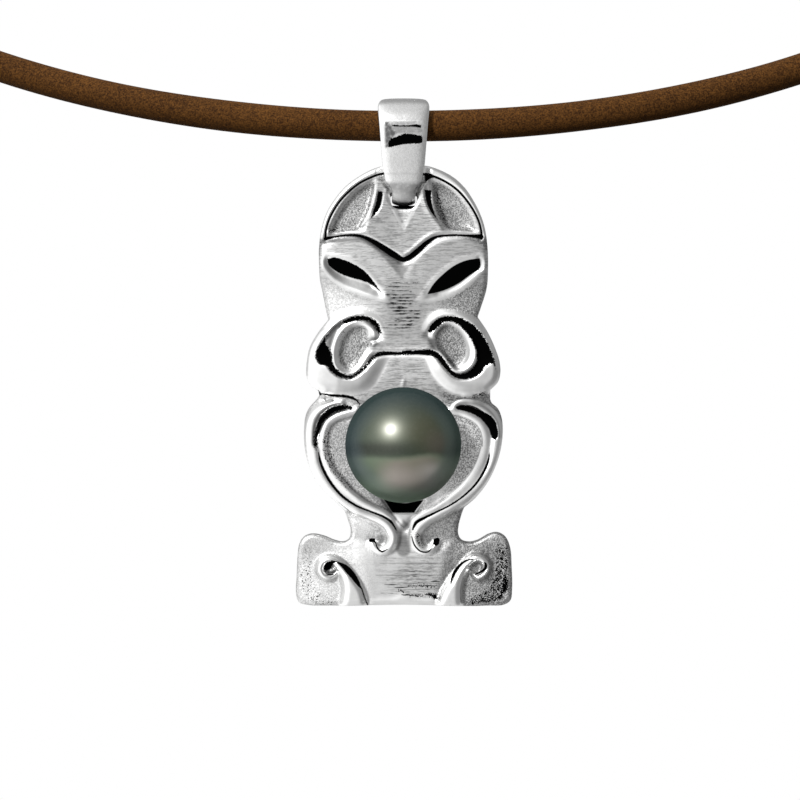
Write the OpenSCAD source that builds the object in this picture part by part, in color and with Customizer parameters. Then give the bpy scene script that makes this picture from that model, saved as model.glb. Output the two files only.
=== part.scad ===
// Leather cord necklace with a cast silver tiki pendant that holds a dark pearl.
// Units are millimetres. +X is to the viewer's right, the front faces -Y, +Z is up.
// The origin is the point at the nape of the neck where the loop rests.

/* [Cord] */
// Diameter of the round leather cord
cord_d = 2.6; // [2.5:0.05:2.65]
// Width of the loop between the cord's centres, before the clasp's share is added
loop_w = 130; // [124:1:136]
// Depth of the loop from the clasp's centre to the cord's centre at the front
loop_depth = 118; // [112:1:124]
// Drop of the loop from the nape to the front
loop_drop = 84; // [78:1:90]
// How the drop gathers at the front: 1 is a flat tilted oval
hang_power = 1.04; // [1:0.01:1.08]

/* [Clasp] */
// Length of the barrel clasp
clasp_l = 18; // [16:1:20]
// Radius of the barrel clasp
clasp_r = 2.25; // [2.1:0.05:2.5]
// Depth of the blind holes that the cord's ends are glued into
clasp_bore = 5; // [4:0.5:6]
// Radius of those holes
clasp_bore_r = 1.4; // [1.38:0.01:1.5]

/* [Bail] */
// Thickness of the silver strip
bail_t = 0.75; // [0.7:0.01:0.78]
// Inner radius of the arch over the cord
bail_arch_r = 1.55; // [1.5:0.01:1.6]
// Inner radius of the bend through the pendant
bail_foot_r = 1.2; // [1.15:0.01:1.25]
// Height from the cord's centre to the centre of that bend
bail_h = 4.72; // [4.68:0.01:4.76]
// Width of the strip over the cord
bail_top_w = 4.3; // [4:0.1:4.6]

/* [Pendant] */
// Level of the back face behind the cord's centre plane
back_y = 1.75; // [1.65:0.05:1.85]
// Level of the recessed grounds
ground_y = 0.2; // [0:0.05:0.4]
// Level of the brushed flats
flat_y = -0.75; // [-0.9:0.05:-0.6]
// Level of the polished ridges
ridge_y = -1.45; // [-1.6:0.05:-1.3]
// Half thickness of the bridge that hangs in the bail
bridge_t = 0.85; // [0.8:0.01:0.88]
// Radius of the domed top of the head
dome_r = 7.05; // [7:0.01:7.1]
// Radius of the round hole under the bridge
hole_r = 1.6; // [1.55:0.01:1.65]

/* [Pearl] */
// Diameter of the pearl
pearl_d = 9.6; // [9.5:0.05:9.7]
// Height of the pearl's centre below the cord's centre
pearl_drop = 26.55; // [26.5:0.01:26.6]
// Distance of the pearl's centre in front of the cord's centre plane
pearl_fwd = 3.6; // [3.55:0.05:3.75]
// Radius of the peg that the half-drilled pearl is glued on
peg_r = 0.45; // [0.4:0.01:0.46]

/* [Hidden] */
leather = [0.23, 0.11, 0.04];
silver = [0.78, 0.78, 0.77];
nacre = [0.30, 0.33, 0.31];

front_y = clasp_r - loop_depth;   // the cord's centre plane at the front
front_z = -loop_drop;             // the cord's centre height at the front
pearl_r = pearl_d / 2;

// ---- the loop -----------------------------------------------------------
// One side of the loop is an oval that hangs from the nape. A is 0 at the
// front and 180 at the clasp. The clasp's half length is shared out along it,
// so that the cord comes to the clasp's mouth in line with it.
function side(a) = [
    loop_w / 2 * sin(a) + clasp_l / 2 * (1 - cos(a)) / 2,
    clasp_r - loop_depth * (1 + cos(a)) / 2,
    -loop_drop + loop_drop * pow((1 - cos(a)) / 2, hang_power)
];
rings = 36;                       // rings on each side of the front
in_bore = clasp_l / 2 - clasp_bore + 0.1;
half_route = concat([for (i = [0 : rings]) side(180 * i / rings)], [[in_bore, clasp_r, 0]]);
n_half = len(half_route);
route = concat(
    [for (i = [n_half - 1 : -1 : 1]) [-half_route[i][0], half_route[i][1], half_route[i][2]]],
    half_route);
sides = 8;

function unit(v) = v / norm(v);
function tangent(p, i) =
    unit(i == 0 ? p[1] - p[0]
       : i == len(p) - 1 ? p[i] - p[i - 1]
       : unit(p[i + 1] - p[i]) + unit(p[i] - p[i - 1]));
// The rings stand on the outward direction, which never lies along the loop.
function outward(q) = unit([q[0], q[1] - front_y / 2, 0]);
function ring(p, i, r) =
    let (t = tangent(p, i),
         u = unit(cross(t, cross(outward(p[i]), t))),
         v = cross(t, u))
    [for (k = [0 : sides - 1]) p[i] + r * (cos(360 * (k + 0.5) / sides) * u + sin(360 * (k + 0.5) / sides) * v)];
module tube(p, r) {
    n = len(p);
    points = [for (i = [0 : n - 1]) for (q = ring(p, i, r)) q];
    walls = [for (i = [0 : n - 2]) for (k = [0 : sides - 1])
        let (a = i * sides + k, b = i * sides + (k + 1) % sides)
        for (f = [[a, b + sides, b], [a, a + sides, b + sides]]) f];
    caps = [[for (k = [0 : sides - 1]) k], [for (k = [sides - 1 : -1 : 0]) (n - 1) * sides + k]];
    polyhedron(points = points, faces = concat(walls, caps), convexity = 8);
}
module cord() {
    color(leather) tube(route, cord_d / 2);
}

module clasp() {
    c = 0.3;
    h = clasp_l / 2;
    b = clasp_l / 2 - clasp_bore;
    color(silver) translate([0, clasp_r, 0]) rotate([0, 90, 0])
        rotate_extrude($fn = 64) polygon([
            [0, -b], [clasp_bore_r, -b], [clasp_bore_r, -h], [clasp_r - c, -h], [clasp_r, -h + c],
            [clasp_r, h - c], [clasp_r - c, h], [clasp_bore_r, h], [clasp_bore_r, b], [0, b]]);
}

// ---- the pendant's own frame ---------------------------------------------
// x is as in the part, z is measured from the cord's centre at the front and
// y from its centre plane. A drawn outline lies in x and z.
module at_front() { translate([0, front_y, front_z]) children(); }
module slab(y0, y1) { translate([0, y1, 0]) rotate([90, 0, 0]) linear_extrude(y1 - y0) children(); }
module both() { children(); mirror([1, 0, 0]) children(); }
function flip(p) = concat(p, [for (i = [len(p) - 1 : -1 : 0]) [-p[i][0], p[i][1]]]);

// The bail's front outline: half width at each height, from the top down.
//            half width,      height
BAIL_FRONT = [
    [bail_top_w / 2 - 0.45, 2.4],
    [bail_top_w / 2 - 0.10, 2.15],
    [bail_top_w / 2,        1.75],
    [1.74,                 -3.25],
    [1.45,                 -4.90]];
// Under it the strip is rounded to suit the hole.
BAIL_TIP_Z = -5.58;
BAIL_TIP_R = 1.36;
bail_tip = [for (a = [0 : 10 : 80]) [BAIL_TIP_R * cos(a), BAIL_TIP_Z - BAIL_TIP_R * sin(a)]];
module belt(r1, r2, h) {
    // the outline of a strip round two circles, one over the other
    s = asin((r1 - r2) / h);
    circle(r = r1, $fn = 64);
    translate([0, -h]) circle(r = r2, $fn = 64);
    polygon([
        [r1 * cos(s), -r1 * sin(s)], [-r1 * cos(s), -r1 * sin(s)],
        [-r2 * cos(s), -h - r2 * sin(s)], [r2 * cos(s), -h - r2 * sin(s)]]);
}
module bail() {
    color(silver) at_front() intersection() {
        // side profile, drawn in y and z and run along x
        rotate([90, 0, 90]) translate([0, 0, -3]) linear_extrude(6) difference() {
            belt(bail_arch_r + bail_t, bail_foot_r + bail_t, bail_h);
            belt(bail_arch_r, bail_foot_r, bail_h);
        }
        slab(-4, 4) polygon(flip(concat(BAIL_FRONT, bail_tip)));
    }
}

// ---- the pendant's outline -------------------------------------------------
//        x,     z        the straight and waisted stretches of the right side
HEAD_SIDE = [
    [7.03, -10.60],
    [6.95, -13.20],
    [6.60, -15.20],
    [6.10, -16.20],
    [5.50, -18.00]];
WAIST_SIDE = [
    [5.60, -31.20],
    [4.95, -32.00],
    [4.45, -33.40],
    [4.50, -34.20],
    [4.95, -34.60],
    [5.60, -36.00]];
FOOT_SIDE = [
    [4.20, -35.20],
    [5.10, -34.60],
    [6.30, -34.35],
    [7.20, -33.95],
    [7.95, -33.90],
    [8.60, -34.40],
    [8.90, -35.30],
    [9.02, -37.50],
    [9.02, -39.20],
    [8.60, -39.90],
    [8.00, -40.05]];
LOBE = [4.90, -19.20, 3.22];       // x, z, radius of a corner of the mouth
ARMS = [0, -25.70, 8.25];          // x, z, radius of the arms' outer line
DOME_Z = -3.28 - dome_r;
HOLE_Z = -5.58;
bar_r = bail_foot_r - 0.06;        // the bridge's round underside, which hangs in the bend
module figure() {
    translate([0, DOME_Z]) circle(r = dome_r, $fn = 96);
    polygon(flip(HEAD_SIDE));
    both() translate([LOBE[0], LOBE[1]]) circle(r = LOBE[2], $fn = 64);
    translate([ARMS[0], ARMS[1]]) circle(r = ARMS[2], $fn = 96);
    polygon(flip(WAIST_SIDE));
    polygon(flip(FOOT_SIDE));
}

// ---- the recesses ------------------------------------------------------------
//        x,     z        panel beside the hole, the right one
PANEL = [
    [2.05, -4.40],
    [2.30, -6.20],
    [2.75, -7.60],
    [3.25, -8.90],
    [6.40, -8.90],
    [6.40, -4.00],
    [2.05, -3.60]];
EYE = [
    [6.30, -10.95],
    [5.20, -11.20],
    [3.95, -11.80],
    [2.75, -12.85],
    [1.65, -14.20],
    [2.90, -13.95],
    [4.30, -13.45],
    [5.40, -12.60],
    [6.30, -11.95]];
NOSE = [
    [0.02, -12.30],
    [1.20, -14.60],
    [2.90, -14.55],
    [4.60, -14.00],
    [6.20, -13.00],
    [5.90, -15.30],
    [4.10, -15.60],
    [2.50, -16.30],
    [1.75, -17.60],
    [1.75, -18.45]];
CHIN = [
    [1.40, -19.35],
    [2.00, -20.60],
    [3.20, -21.90],
    [4.60, -22.50],
    [3.90, -23.00],
    [0.90, -21.45]];
WEDGE = [
    [1.90, -31.10],
    [0.90, -32.20],
    [0.02, -33.30]];
FOOT = [
    [5.35, -39.40],
    [5.10, -38.20],
    [5.60, -36.90],
    [6.60, -36.50],
    [7.35, -36.00],
    [8.30, -36.60],
    [8.35, -38.60],
    [8.00, -39.40]];
SHIN = [
    [2.50, -40.40],
    [2.20, -38.60],
    [1.40, -36.60],
    [0.60, -35.90]];
module cut(level) { slab(-4, level) children(); }
module post() {
    // the post that stands in the half-drilled pearl
    translate([0, back_y - 0.3, -pearl_drop]) rotate([90, 0, 0])
        cylinder(r = peg_r, h = pearl_fwd + back_y - 0.9, $fn = 24);
}
module casting() {
    difference() {
        slab(ridge_y, back_y) figure();
        // grounds
        cut(ground_y) intersection() {
            translate([0, DOME_Z]) circle(r = dome_r - 0.75, $fn = 96);
            both() polygon(PANEL);
        }
        both() cut(flat_y + 0.55) polygon(EYE);
        cut(flat_y) polygon(flip(NOSE));
        both() cut(ground_y) translate([4.15, -18.25]) intersection() {
            circle(r = 1.75, $fn = 48);
            translate([-1.1, -1.8]) square([2.2, 3.6]);
        }
        cut(flat_y) polygon(flip(CHIN));
        cut(flat_y) polygon(flip(SHIN));
        both() cut(ground_y) polygon(FOOT);
        // the chest behind the pearl
        cut(ground_y) union() {
            intersection() {
                translate([ARMS[0], ARMS[1]]) circle(r = ARMS[2] - 1.25, $fn = 96);
                translate([-8, -31.1]) square([16, 8.0]);
            }
            polygon(flip(WEDGE));
        }
        // the pearl's cup
        translate([0, -pearl_fwd, -pearl_drop]) sphere(r = pearl_r + 0.05, $fn = 96);
        // the hole for the bail, with a round bar over it to hang by
        difference() {
            slab(-4, 4) intersection() {
                translate([0, HOLE_Z]) circle(r = hole_r, $fn = 64);
                translate([-3, -bail_h - 4]) square([6, 4]);
            }
            translate([-3, 0, -bail_h]) rotate([0, 90, 0]) cylinder(r = bar_r, h = 6, $fn = 48);
        }
        // room for the bail's legs in front of the bridge and behind it
        slab(-4, -bridge_t) translate([-2.3, -7.3]) square([4.6, 8]);
        slab(bridge_t, 4) translate([-2.3, -7.3]) square([4.6, 8]);
    }
}
module pendant_body() {
    color(silver) at_front() {
        casting();
        post();
    }
}

module pearl() {
    color(nacre) at_front() difference() {
        translate([0, -pearl_fwd, -pearl_drop]) sphere(r = pearl_r, $fn = 96);
        translate([0, 3, -pearl_drop]) rotate([90, 0, 0]) cylinder(r = peg_r + 0.05, h = pearl_fwd + 2.6, $fn = 24);
    }
}

cord();
clasp();
bail();
pendant_body();
pearl();
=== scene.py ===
import math

import bpy
import numpy as np
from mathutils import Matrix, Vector
from mathutils.geometry import delaunay_2d_cdt


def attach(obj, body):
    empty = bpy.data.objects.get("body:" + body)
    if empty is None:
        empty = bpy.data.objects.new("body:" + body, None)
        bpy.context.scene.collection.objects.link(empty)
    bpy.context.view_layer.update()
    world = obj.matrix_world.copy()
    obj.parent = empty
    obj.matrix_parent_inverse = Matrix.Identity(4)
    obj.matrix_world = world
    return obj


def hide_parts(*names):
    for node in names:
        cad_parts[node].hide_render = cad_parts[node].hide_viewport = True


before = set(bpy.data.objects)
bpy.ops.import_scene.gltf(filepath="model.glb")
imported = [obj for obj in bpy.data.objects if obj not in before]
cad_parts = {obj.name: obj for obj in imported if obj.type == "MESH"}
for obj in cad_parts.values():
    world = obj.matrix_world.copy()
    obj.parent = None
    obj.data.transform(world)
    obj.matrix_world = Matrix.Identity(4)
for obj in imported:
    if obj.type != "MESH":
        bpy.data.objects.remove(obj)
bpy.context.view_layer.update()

scene = bpy.context.scene
MM = 0.001
FRONT_Y, FRONT_Z = -0.11575, -0.084      # the cord's centre at the front of the loop
X0, Y0 = 403.6, 126.0                    # the same point in the drawing's units, 12 to the millimetre

# ---------------------------------------------------------------------------
# camera: level, in front of the pendant, with a long lens
# ---------------------------------------------------------------------------
cam_data = bpy.data.cameras.new("camera")
cam_data.type = "PERSP"
cam_data.sensor_width = 36.0
cam_data.lens = 270.0
cam_data.clip_start = 0.01
cam = bpy.data.objects.new("camera", cam_data)
cam.location = (-0.0003, FRONT_Y - 0.5, -0.10683)
cam.rotation_euler = (math.pi / 2, 0, 0)
scene.collection.objects.link(cam)
scene.camera = cam


# ---------------------------------------------------------------------------
# small node helpers
# ---------------------------------------------------------------------------
class Tree:
    """A material's nodes, made by short calls."""

    def __init__(self, name):
        self.material = bpy.data.materials.new(name)
        self.material.use_nodes = True
        self.nodes = self.material.node_tree.nodes
        self.links = self.material.node_tree.links
        self.shader = self.nodes["Principled BSDF"]

    def node(self, kind, **inputs):
        n = self.nodes.new(kind)
        for k, v in inputs.items():
            self.put(n, k, v)
        return n

    def put(self, node, socket, value):
        s = node.inputs[int(socket[1:])] if socket[0] == "i" and socket[1:].isdigit() else node.inputs[socket.replace("_", " ")]
        if isinstance(value, bpy.types.NodeSocket):
            self.links.new(value, s)
        else:
            s.default_value = value

    def math(self, op, a, b=0.0, c=0.0, clamp=False):
        n = self.nodes.new("ShaderNodeMath")
        n.operation = op
        n.use_clamp = clamp
        self.put(n, "i0", a)
        self.put(n, "i1", b)
        if op in ("MULTIPLY_ADD",):
            self.put(n, "i2", c)
        return n.outputs[0]

    def ramp(self, value, lo, hi, to_lo=0.0, to_hi=1.0, smooth=True):
        n = self.nodes.new("ShaderNodeMapRange")
        n.interpolation_type = "SMOOTHSTEP" if smooth else "LINEAR"
        n.clamp = True
        self.put(n, "i0", value)
        for i, v in enumerate((lo, hi, to_lo, to_hi)):
            self.put(n, f"i{i + 1}", v)
        return n.outputs[0]

    def mix(self, factor, a, b):
        n = self.nodes.new("ShaderNodeMix")
        n.data_type = "RGBA"
        self.links.new(factor, n.inputs[0]) if isinstance(factor, bpy.types.NodeSocket) else setattr(n.inputs[0], "default_value", factor)
        for i, v in ((6, a), (7, b)):
            if isinstance(v, bpy.types.NodeSocket):
                self.links.new(v, n.inputs[i])
            else:
                n.inputs[i].default_value = (*v, 1.0)
        return n.outputs[2]

    def mixf(self, factor, a, b):
        n = self.nodes.new("ShaderNodeMix")
        n.data_type = "FLOAT"
        for i, v in ((0, factor), (2, a), (3, b)):
            if isinstance(v, bpy.types.NodeSocket):
                self.links.new(v, n.inputs[i])
            else:
                n.inputs[i].default_value = v
        return n.outputs[0]

    def attribute(self, name):
        n = self.nodes.new("ShaderNodeAttribute")
        n.attribute_name = name
        return n.outputs["Fac"]

    def coords(self, scale=(1, 1, 1)):
        t = self.nodes.new("ShaderNodeTexCoord")
        m = self.nodes.new("ShaderNodeMapping")
        self.links.new(t.outputs["Object"], m.inputs[0])
        m.inputs["Scale"].default_value = scale
        return m.outputs[0]

    def noise(self, vector, scale, detail=2.0, rough=0.5):
        n = self.nodes.new("ShaderNodeTexNoise")
        self.links.new(vector, n.inputs["Vector"])
        n.inputs["Scale"].default_value = scale
        n.inputs["Detail"].default_value = detail
        n.inputs["Roughness"].default_value = rough
        return n.outputs["Fac"]

    def bump(self, height, strength, distance, normal=None):
        n = self.nodes.new("ShaderNodeBump")
        self.put(n, "Height", height)
        self.put(n, "Strength", strength)
        self.put(n, "Distance", distance)
        if normal is not None:
            self.links.new(normal, n.inputs["Normal"])
        return n.outputs[0]

    def set(self, **values):
        for k, v in values.items():
            k = k.replace("_", " ")
            if isinstance(v, bpy.types.NodeSocket):
                self.links.new(v, self.shader.inputs[k])
            else:
                self.shader.inputs[k].default_value = v


# ---------------------------------------------------------------------------
# materials
# ---------------------------------------------------------------------------
SILVER = (0.93, 0.93, 0.925)
# black for the recesses: partly patina, partly a painted reflection of dark surroundings, and a painted shadow on the
# hole's wall
PATINA_AND_REFLECTION = (0.0016, 0.0016, 0.0016)


def leather_material():
    t = Tree("brown_leather")
    p = t.coords()
    fine = t.noise(p, 8200, 2.0, 0.65)
    grain = t.noise(p, 3300, 3.0, 0.6)
    broad = t.noise(p, 120, 2.0, 0.5)
    tone = t.math("ADD", t.math("MULTIPLY", fine, 0.75), t.math("MULTIPLY", grain, 0.35))
    tone = t.ramp(t.math("ADD", tone, t.math("MULTIPLY", broad, 0.12)), 0.46, 0.82)
    colour = t.mix(tone, (0.030, 0.0106, 0.0018), (0.154, 0.063, 0.0130))
    t.set(Base_Color=colour, Roughness=0.85, Specular_IOR_Level=0.12,
          Normal=t.bump(t.math("ADD", fine, grain), 0.3, 0.00004))
    return t.material


def tarnish_reflection_and_shadow_mask(t, p):
    """How far the black covers, partly tarnish and partly painted reflection and painted shadow: a sharp edge, or a
    ragged and dotted one where the mesh says so.
    """
    black, speckle = t.attribute("black"), t.attribute("speckle")
    patch = t.noise(p, 4300, 3.0, 0.6)
    dots = t.noise(p, 10500, 1.0, 0.5)
    rag = t.math("ADD", t.math("MULTIPLY", t.math("SUBTRACT", patch, 0.5), 8.0),
                 t.math("MULTIPLY", t.math("SUBTRACT", dots, 0.5), 15.0))
    return t.ramp(t.math("ADD", black, t.math("MULTIPLY", rag, speckle)), -0.32, 0.32)


def cast_silver_material():
    """The casting's silver: satin ridges, brushed flats, stippled grounds and black recesses, the black partly patina
    and partly painted reflection and shadow, by the mesh's own attributes.
    """
    t = Tree("cast_silver")
    p = t.coords()
    brush, stipple, dash = t.attribute("brush"), t.attribute("stipple"), t.attribute("dash")
    dark = tarnish_reflection_and_shadow_mask(t, p)
    # brushed lines run across; some are cut deep enough to hold tarnish
    lines = t.noise(t.coords((700, 600, 7600)), 1.0, 2.0, 0.65)
    fine_lines = t.noise(t.coords((2600, 900, 12500)), 1.0, 2.0, 0.6)
    streaks = t.noise(t.coords((620, 600, 6800)), 1.0, 2.0, 0.7)
    near = t.math("MULTIPLY", t.math("SUBTRACT", dash, 1.0), 0.14)
    dashes = t.math("MULTIPLY", t.ramp(t.math("ADD", streaks, near), 0.52, 0.58), t.ramp(dash, 0.02, 0.12))
    dark = t.math("MAXIMUM", dark, dashes)
    # stippled grounds: small pits
    pits = t.noise(p, 11500, 1.5, 0.6)
    pits2 = t.noise(p, 6800, 2.0, 0.55)
    pit_dark = t.math("MULTIPLY", t.ramp(t.math("ADD", t.math("MULTIPLY", pits, 0.55), t.math("MULTIPLY", pits2, 0.45)), 0.57, 0.43),
                      t.math("MULTIPLY", stipple, 0.80))
    line_mix = t.math("ADD", t.math("MULTIPLY", lines, 0.6), t.math("MULTIPLY", fine_lines, 0.4))
    line_dark = t.math("MULTIPLY", t.ramp(line_mix, 0.55, 0.39), t.math("MULTIPLY", brush, 0.64))
    tarnish = t.math("ADD", pit_dark, line_dark, clamp=True)
    mottle = t.ramp(t.noise(p, 900, 3.0, 0.6), 0.3, 0.7, 0.90, 1.0)
    worn = t.math("ADD", t.math("MULTIPLY", stipple, 0.36), t.math("MULTIPLY", brush, 0.27), clamp=True)
    mottle = t.math("MULTIPLY", mottle, t.math("SUBTRACT", 1.0, worn))
    # the grey attribute darkens the silver: a thin film, and painted shade beside the pearl, in the chest's left recess
    # and in the crown's left panel
    mottle = t.math("MULTIPLY", mottle, t.math("SUBTRACT", 1.0, t.attribute("grey")))
    colour = t.mix(tarnish, SILVER, (0.20, 0.20, 0.20))
    mul = t.nodes.new("ShaderNodeMix")
    mul.data_type = "RGBA"
    mul.blend_type = "MULTIPLY"
    mul.inputs[0].default_value = 1.0
    t.links.new(colour, mul.inputs[6])
    t.links.new(mottle, mul.inputs[7])
    colour = t.mix(dark, mul.outputs[2], PATINA_AND_REFLECTION)
    rough = t.mixf(brush, 0.30, 0.38)
    rough = t.mixf(stipple, rough, 0.50)
    rough = t.mixf(dark, rough, 0.35)
    relief = t.math("ADD",
                    t.math("MULTIPLY", t.math("ADD", pits, pits2), t.math("MULTIPLY", stipple, 1.0)),
                    t.math("MULTIPLY", line_mix, t.math("MULTIPLY", brush, 0.9)))
    t.set(Base_Color=colour, Metallic=t.math("SUBTRACT", 1.0, dark), Roughness=rough, Specular_IOR_Level=0.0,
          Normal=t.bump(relief, 0.7, 0.00003))
    return t.material


def bright_silver_material():
    """Satin-polished silver, for the bail and the clasp."""
    t = Tree("bright_silver")
    p = t.coords()
    broad = t.noise(p, 500, 3.0, 0.55)
    fine = t.noise(p, 5200, 2.0, 0.6)
    dark = tarnish_reflection_and_shadow_mask(t, p)
    colour = t.mix(t.ramp(fine, 0.3, 0.7), (0.84, 0.84, 0.835), (0.94, 0.94, 0.935))
    # the grey attribute darkens the silver: a film on the bail's front, and painted shade where the bail bends through
    # the pendant
    grey = t.attribute("grey")
    colour = t.mix(t.math("MULTIPLY", grey, t.ramp(t.noise(p, 3300, 3.0, 0.6), 0.2, 0.6, 0.75, 1.15)), colour, (0.10, 0.10, 0.10))
    colour = t.mix(dark, colour, PATINA_AND_REFLECTION)
    t.set(Base_Color=colour, Metallic=t.math("SUBTRACT", 1.0, dark), Specular_IOR_Level=0.0,
          Roughness=t.math("ADD", t.ramp(broad, 0.3, 0.7, 0.17, 0.27), t.math("MULTIPLY", grey, 0.55)),
          Normal=t.bump(t.math("ADD", fine, broad), 0.3, 0.00003))
    return t.material


def nacre_material():
    """Dark nacre: greens and greys under a soft gloss that gives out towards the rim, with a painted reflection of a
    level horizon across the middle and painted light that lifts the lower half.
    """
    t = Tree("dark_nacre")
    texco = t.nodes.new("ShaderNodeTexCoord")
    sep = t.nodes.new("ShaderNodeSeparateXYZ")
    t.links.new(texco.outputs["Object"], sep.inputs[0])
    z = t.ramp(sep.outputs["Z"], PEARL_AT[2] - 0.0048, PEARL_AT[2] + 0.0048, -1.0, 1.0, smooth=False)
    x = t.ramp(sep.outputs["X"], PEARL_AT[0] - 0.0048, PEARL_AT[0] + 0.0048, -1.0, 1.0, smooth=False)
    clouds = t.noise(t.coords(), 260, 3.0, 0.55)
    wide = t.noise(t.coords(), 170, 2.0, 0.5)
    wavy = t.math("MULTIPLY", t.math("SUBTRACT", clouds, 0.5), 0.16)
    def spot(cx, cz, inner, outer):
        dx, dz = t.math("SUBTRACT", x, cx), t.math("SUBTRACT", z, cz)
        d = t.math("SQRT", t.math("ADD", t.math("MULTIPLY", dx, dx), t.math("MULTIPLY", dz, dz)))
        return t.ramp(t.math("ADD", d, wavy), inner, outer, 1.0, 0.0)

    # dark green above, olive to the right of the middle, and bluer towards the rim
    colour = t.mix(t.ramp(z, 0.15, 0.95), (0.032, 0.050, 0.034), (0.030, 0.042, 0.038))
    colour = t.mix(t.math("MULTIPLY", spot(0.34, 0.22, 0.05, 0.55), 0.8), colour, (0.056, 0.058, 0.032))
    colour = t.mix(t.math("MULTIPLY", spot(0.62, 0.02, 0.0, 0.36), 0.7), colour, (0.090, 0.078, 0.062))
    # painted reflection of a level horizon: greener and lighter below an edge across the middle; painted light makes it
    # lighter still towards the bottom and the lower right
    split = t.math("ADD", z, t.math("ADD", t.math("MULTIPLY", wavy, 1.0), t.math("MULTIPLY", x, -0.015)))
    lower = t.ramp(split, -0.12, -0.26)
    green = t.mix(t.ramp(z, -0.45, -0.90), (0.128, 0.178, 0.118), (0.76, 1.0, 0.74))
    green = t.mix(t.math("MULTIPLY", t.ramp(x, 0.22, 0.72), t.ramp(z, -0.12, -0.45)), green, (0.440, 0.500, 0.410))
    colour = t.mix(lower, colour, green)
    # a rosy field below the edge, with painted light: darker just under the edge, lighter further down and to the right
    rosy = t.mix(t.ramp(t.math("ADD", wide, t.math("MULTIPLY", x, 0.25)), 0.46, 0.62), (0.36, 0.345, 0.265), (0.39, 0.335, 0.305))
    rosy = t.mix(t.ramp(z, -0.28, -0.62), t.mix(0.35, rosy, (0.10, 0.09, 0.08)), t.mix(0.45, rosy, (0.90, 0.83, 0.76)))
    rosy = t.mix(t.math("MULTIPLY", t.ramp(x, 0.15, 0.6), t.ramp(z, -0.22, -0.48)), rosy, (0.72, 0.69, 0.65))
    field = t.math("MULTIPLY", spot(0.14, -0.44, 0.26, 0.74), t.math("MULTIPLY", t.ramp(split, -0.14, -0.30), t.ramp(z, -0.94, -0.66)))
    colour = t.mix(field, colour, rosy)
    # painted reflection: the horizon's dark band just over the edge, darkest on the left
    band = t.math("MULTIPLY", t.ramp(t.math("ABSOLUTE", t.math("ADD", z, 0.06)), 0.20, 0.02), t.ramp(t.math("ADD", x, 0.15), 0.65, -0.1))
    colour = t.mix(t.math("MULTIPLY", band, 0.80), colour, (0.010, 0.014, 0.012))
    # bluer towards the rim; the lower rim is painted lighter, as painted light from below
    rim = t.math("MULTIPLY", t.ramp(spot(0.0, 0.0, 0.0, 1.0), 0.34, 0.03), t.ramp(z, -0.25, -0.80, 0.8, 0.42))
    rim_colour = t.mix(t.ramp(z, 0.75, 0.05), (0.030, 0.046, 0.046), t.mix(t.ramp(x, -0.6, 0.6), (0.056, 0.078, 0.084), (0.084, 0.116, 0.104)))
    rim_colour = t.mix(t.ramp(z, -0.05, -0.55), rim_colour, t.mix(t.ramp(x, -0.5, 0.5), (0.145, 0.190, 0.196), (0.250, 0.330, 0.280)))
    colour = t.mix(rim, colour, rim_colour)
    speck = t.noise(t.coords(), 3600, 2.0, 0.6)
    colour = t.mix(t.math("MULTIPLY", t.ramp(speck, 0.45, 0.75), 0.04), colour, (0.22, 0.23, 0.20))
    edge = t.nodes.new("ShaderNodeLayerWeight")
    edge.inputs["Blend"].default_value = 0.5
    gloss = t.ramp(edge.outputs["Facing"], 0.12, 0.62, 1.0, 0.0)
    gloss = t.math("MULTIPLY", gloss, t.math("SUBTRACT", 1.0, t.math("MULTIPLY", band, 0.35)))
    t.set(Base_Color=colour, Metallic=0.0, Roughness=0.44, Specular_IOR_Level=t.math("MULTIPLY", gloss, 0.45),
          Specular_Tint=(1.0, 1.0, 0.78, 1.0),
          Coat_Weight=t.math("MULTIPLY", gloss, 0.21), Coat_Roughness=0.31, Coat_IOR=1.8)
    return t.material


def floor_material():
    t = Tree("pale_floor")
    t.set(Base_Color=(0.86, 0.86, 0.85, 1.0), Roughness=0.9, Specular_IOR_Level=0.1)
    return t.material


# ---------------------------------------------------------------------------
# mesh helpers
# ---------------------------------------------------------------------------
def make_object(name, verts, faces, material, smooth=True, attributes=None):
    me = bpy.data.meshes.new(name)
    me.from_pydata([tuple(v) for v in verts], [], [tuple(f) for f in faces])
    me.validate()
    for key, values in (attributes or {}).items():
        a = me.attributes.new(key, "FLOAT", "POINT")
        a.data.foreach_set("value", np.asarray(values, np.float32))
    me.materials.append(material)
    if smooth:
        me.shade_smooth()
    me.update()
    o = bpy.data.objects.new(name, me)
    scene.collection.objects.link(o)
    return o


def sweep(rings, closed=False, caps=True):
    """Faces that join equal rings of points, each ring closed."""
    n, m = len(rings), len(rings[0])
    verts = [p for r in rings for p in r]
    faces = []
    for i in range(n if closed else n - 1):
        for k in range(m):
            a, b = i * m + k, i * m + (k + 1) % m
            c, d = ((i + 1) % n) * m + (k + 1) % m, ((i + 1) % n) * m + k
            faces.append((a, d, c, b))
    if not closed and caps:
        faces.append(tuple(range(m)))
        faces.append(tuple(reversed(range((n - 1) * m, n * m))))
    return verts, faces


# ---------------------------------------------------------------------------
# the cord
# ---------------------------------------------------------------------------
LOOP_W, LOOP_DEPTH, LOOP_DROP, HANG_POWER = 130.0, 118.0, 84.0, 1.04
CLASP_L, CLASP_R, CLASP_BORE, CLASP_BORE_R = 18.0, 2.25, 5.0, 1.4
CORD_RADIUS = 1.3


def loop_side(a):
    """The right side of the loop in mm; a is 0 at the front and pi at the clasp."""
    c = (1 - math.cos(a)) / 2
    return np.array([LOOP_W / 2 * math.sin(a) + CLASP_L / 2 * c,
                     CLASP_R - LOOP_DEPTH * (1 + math.cos(a)) / 2,
                     -LOOP_DROP + LOOP_DROP * c ** HANG_POWER])


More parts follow.
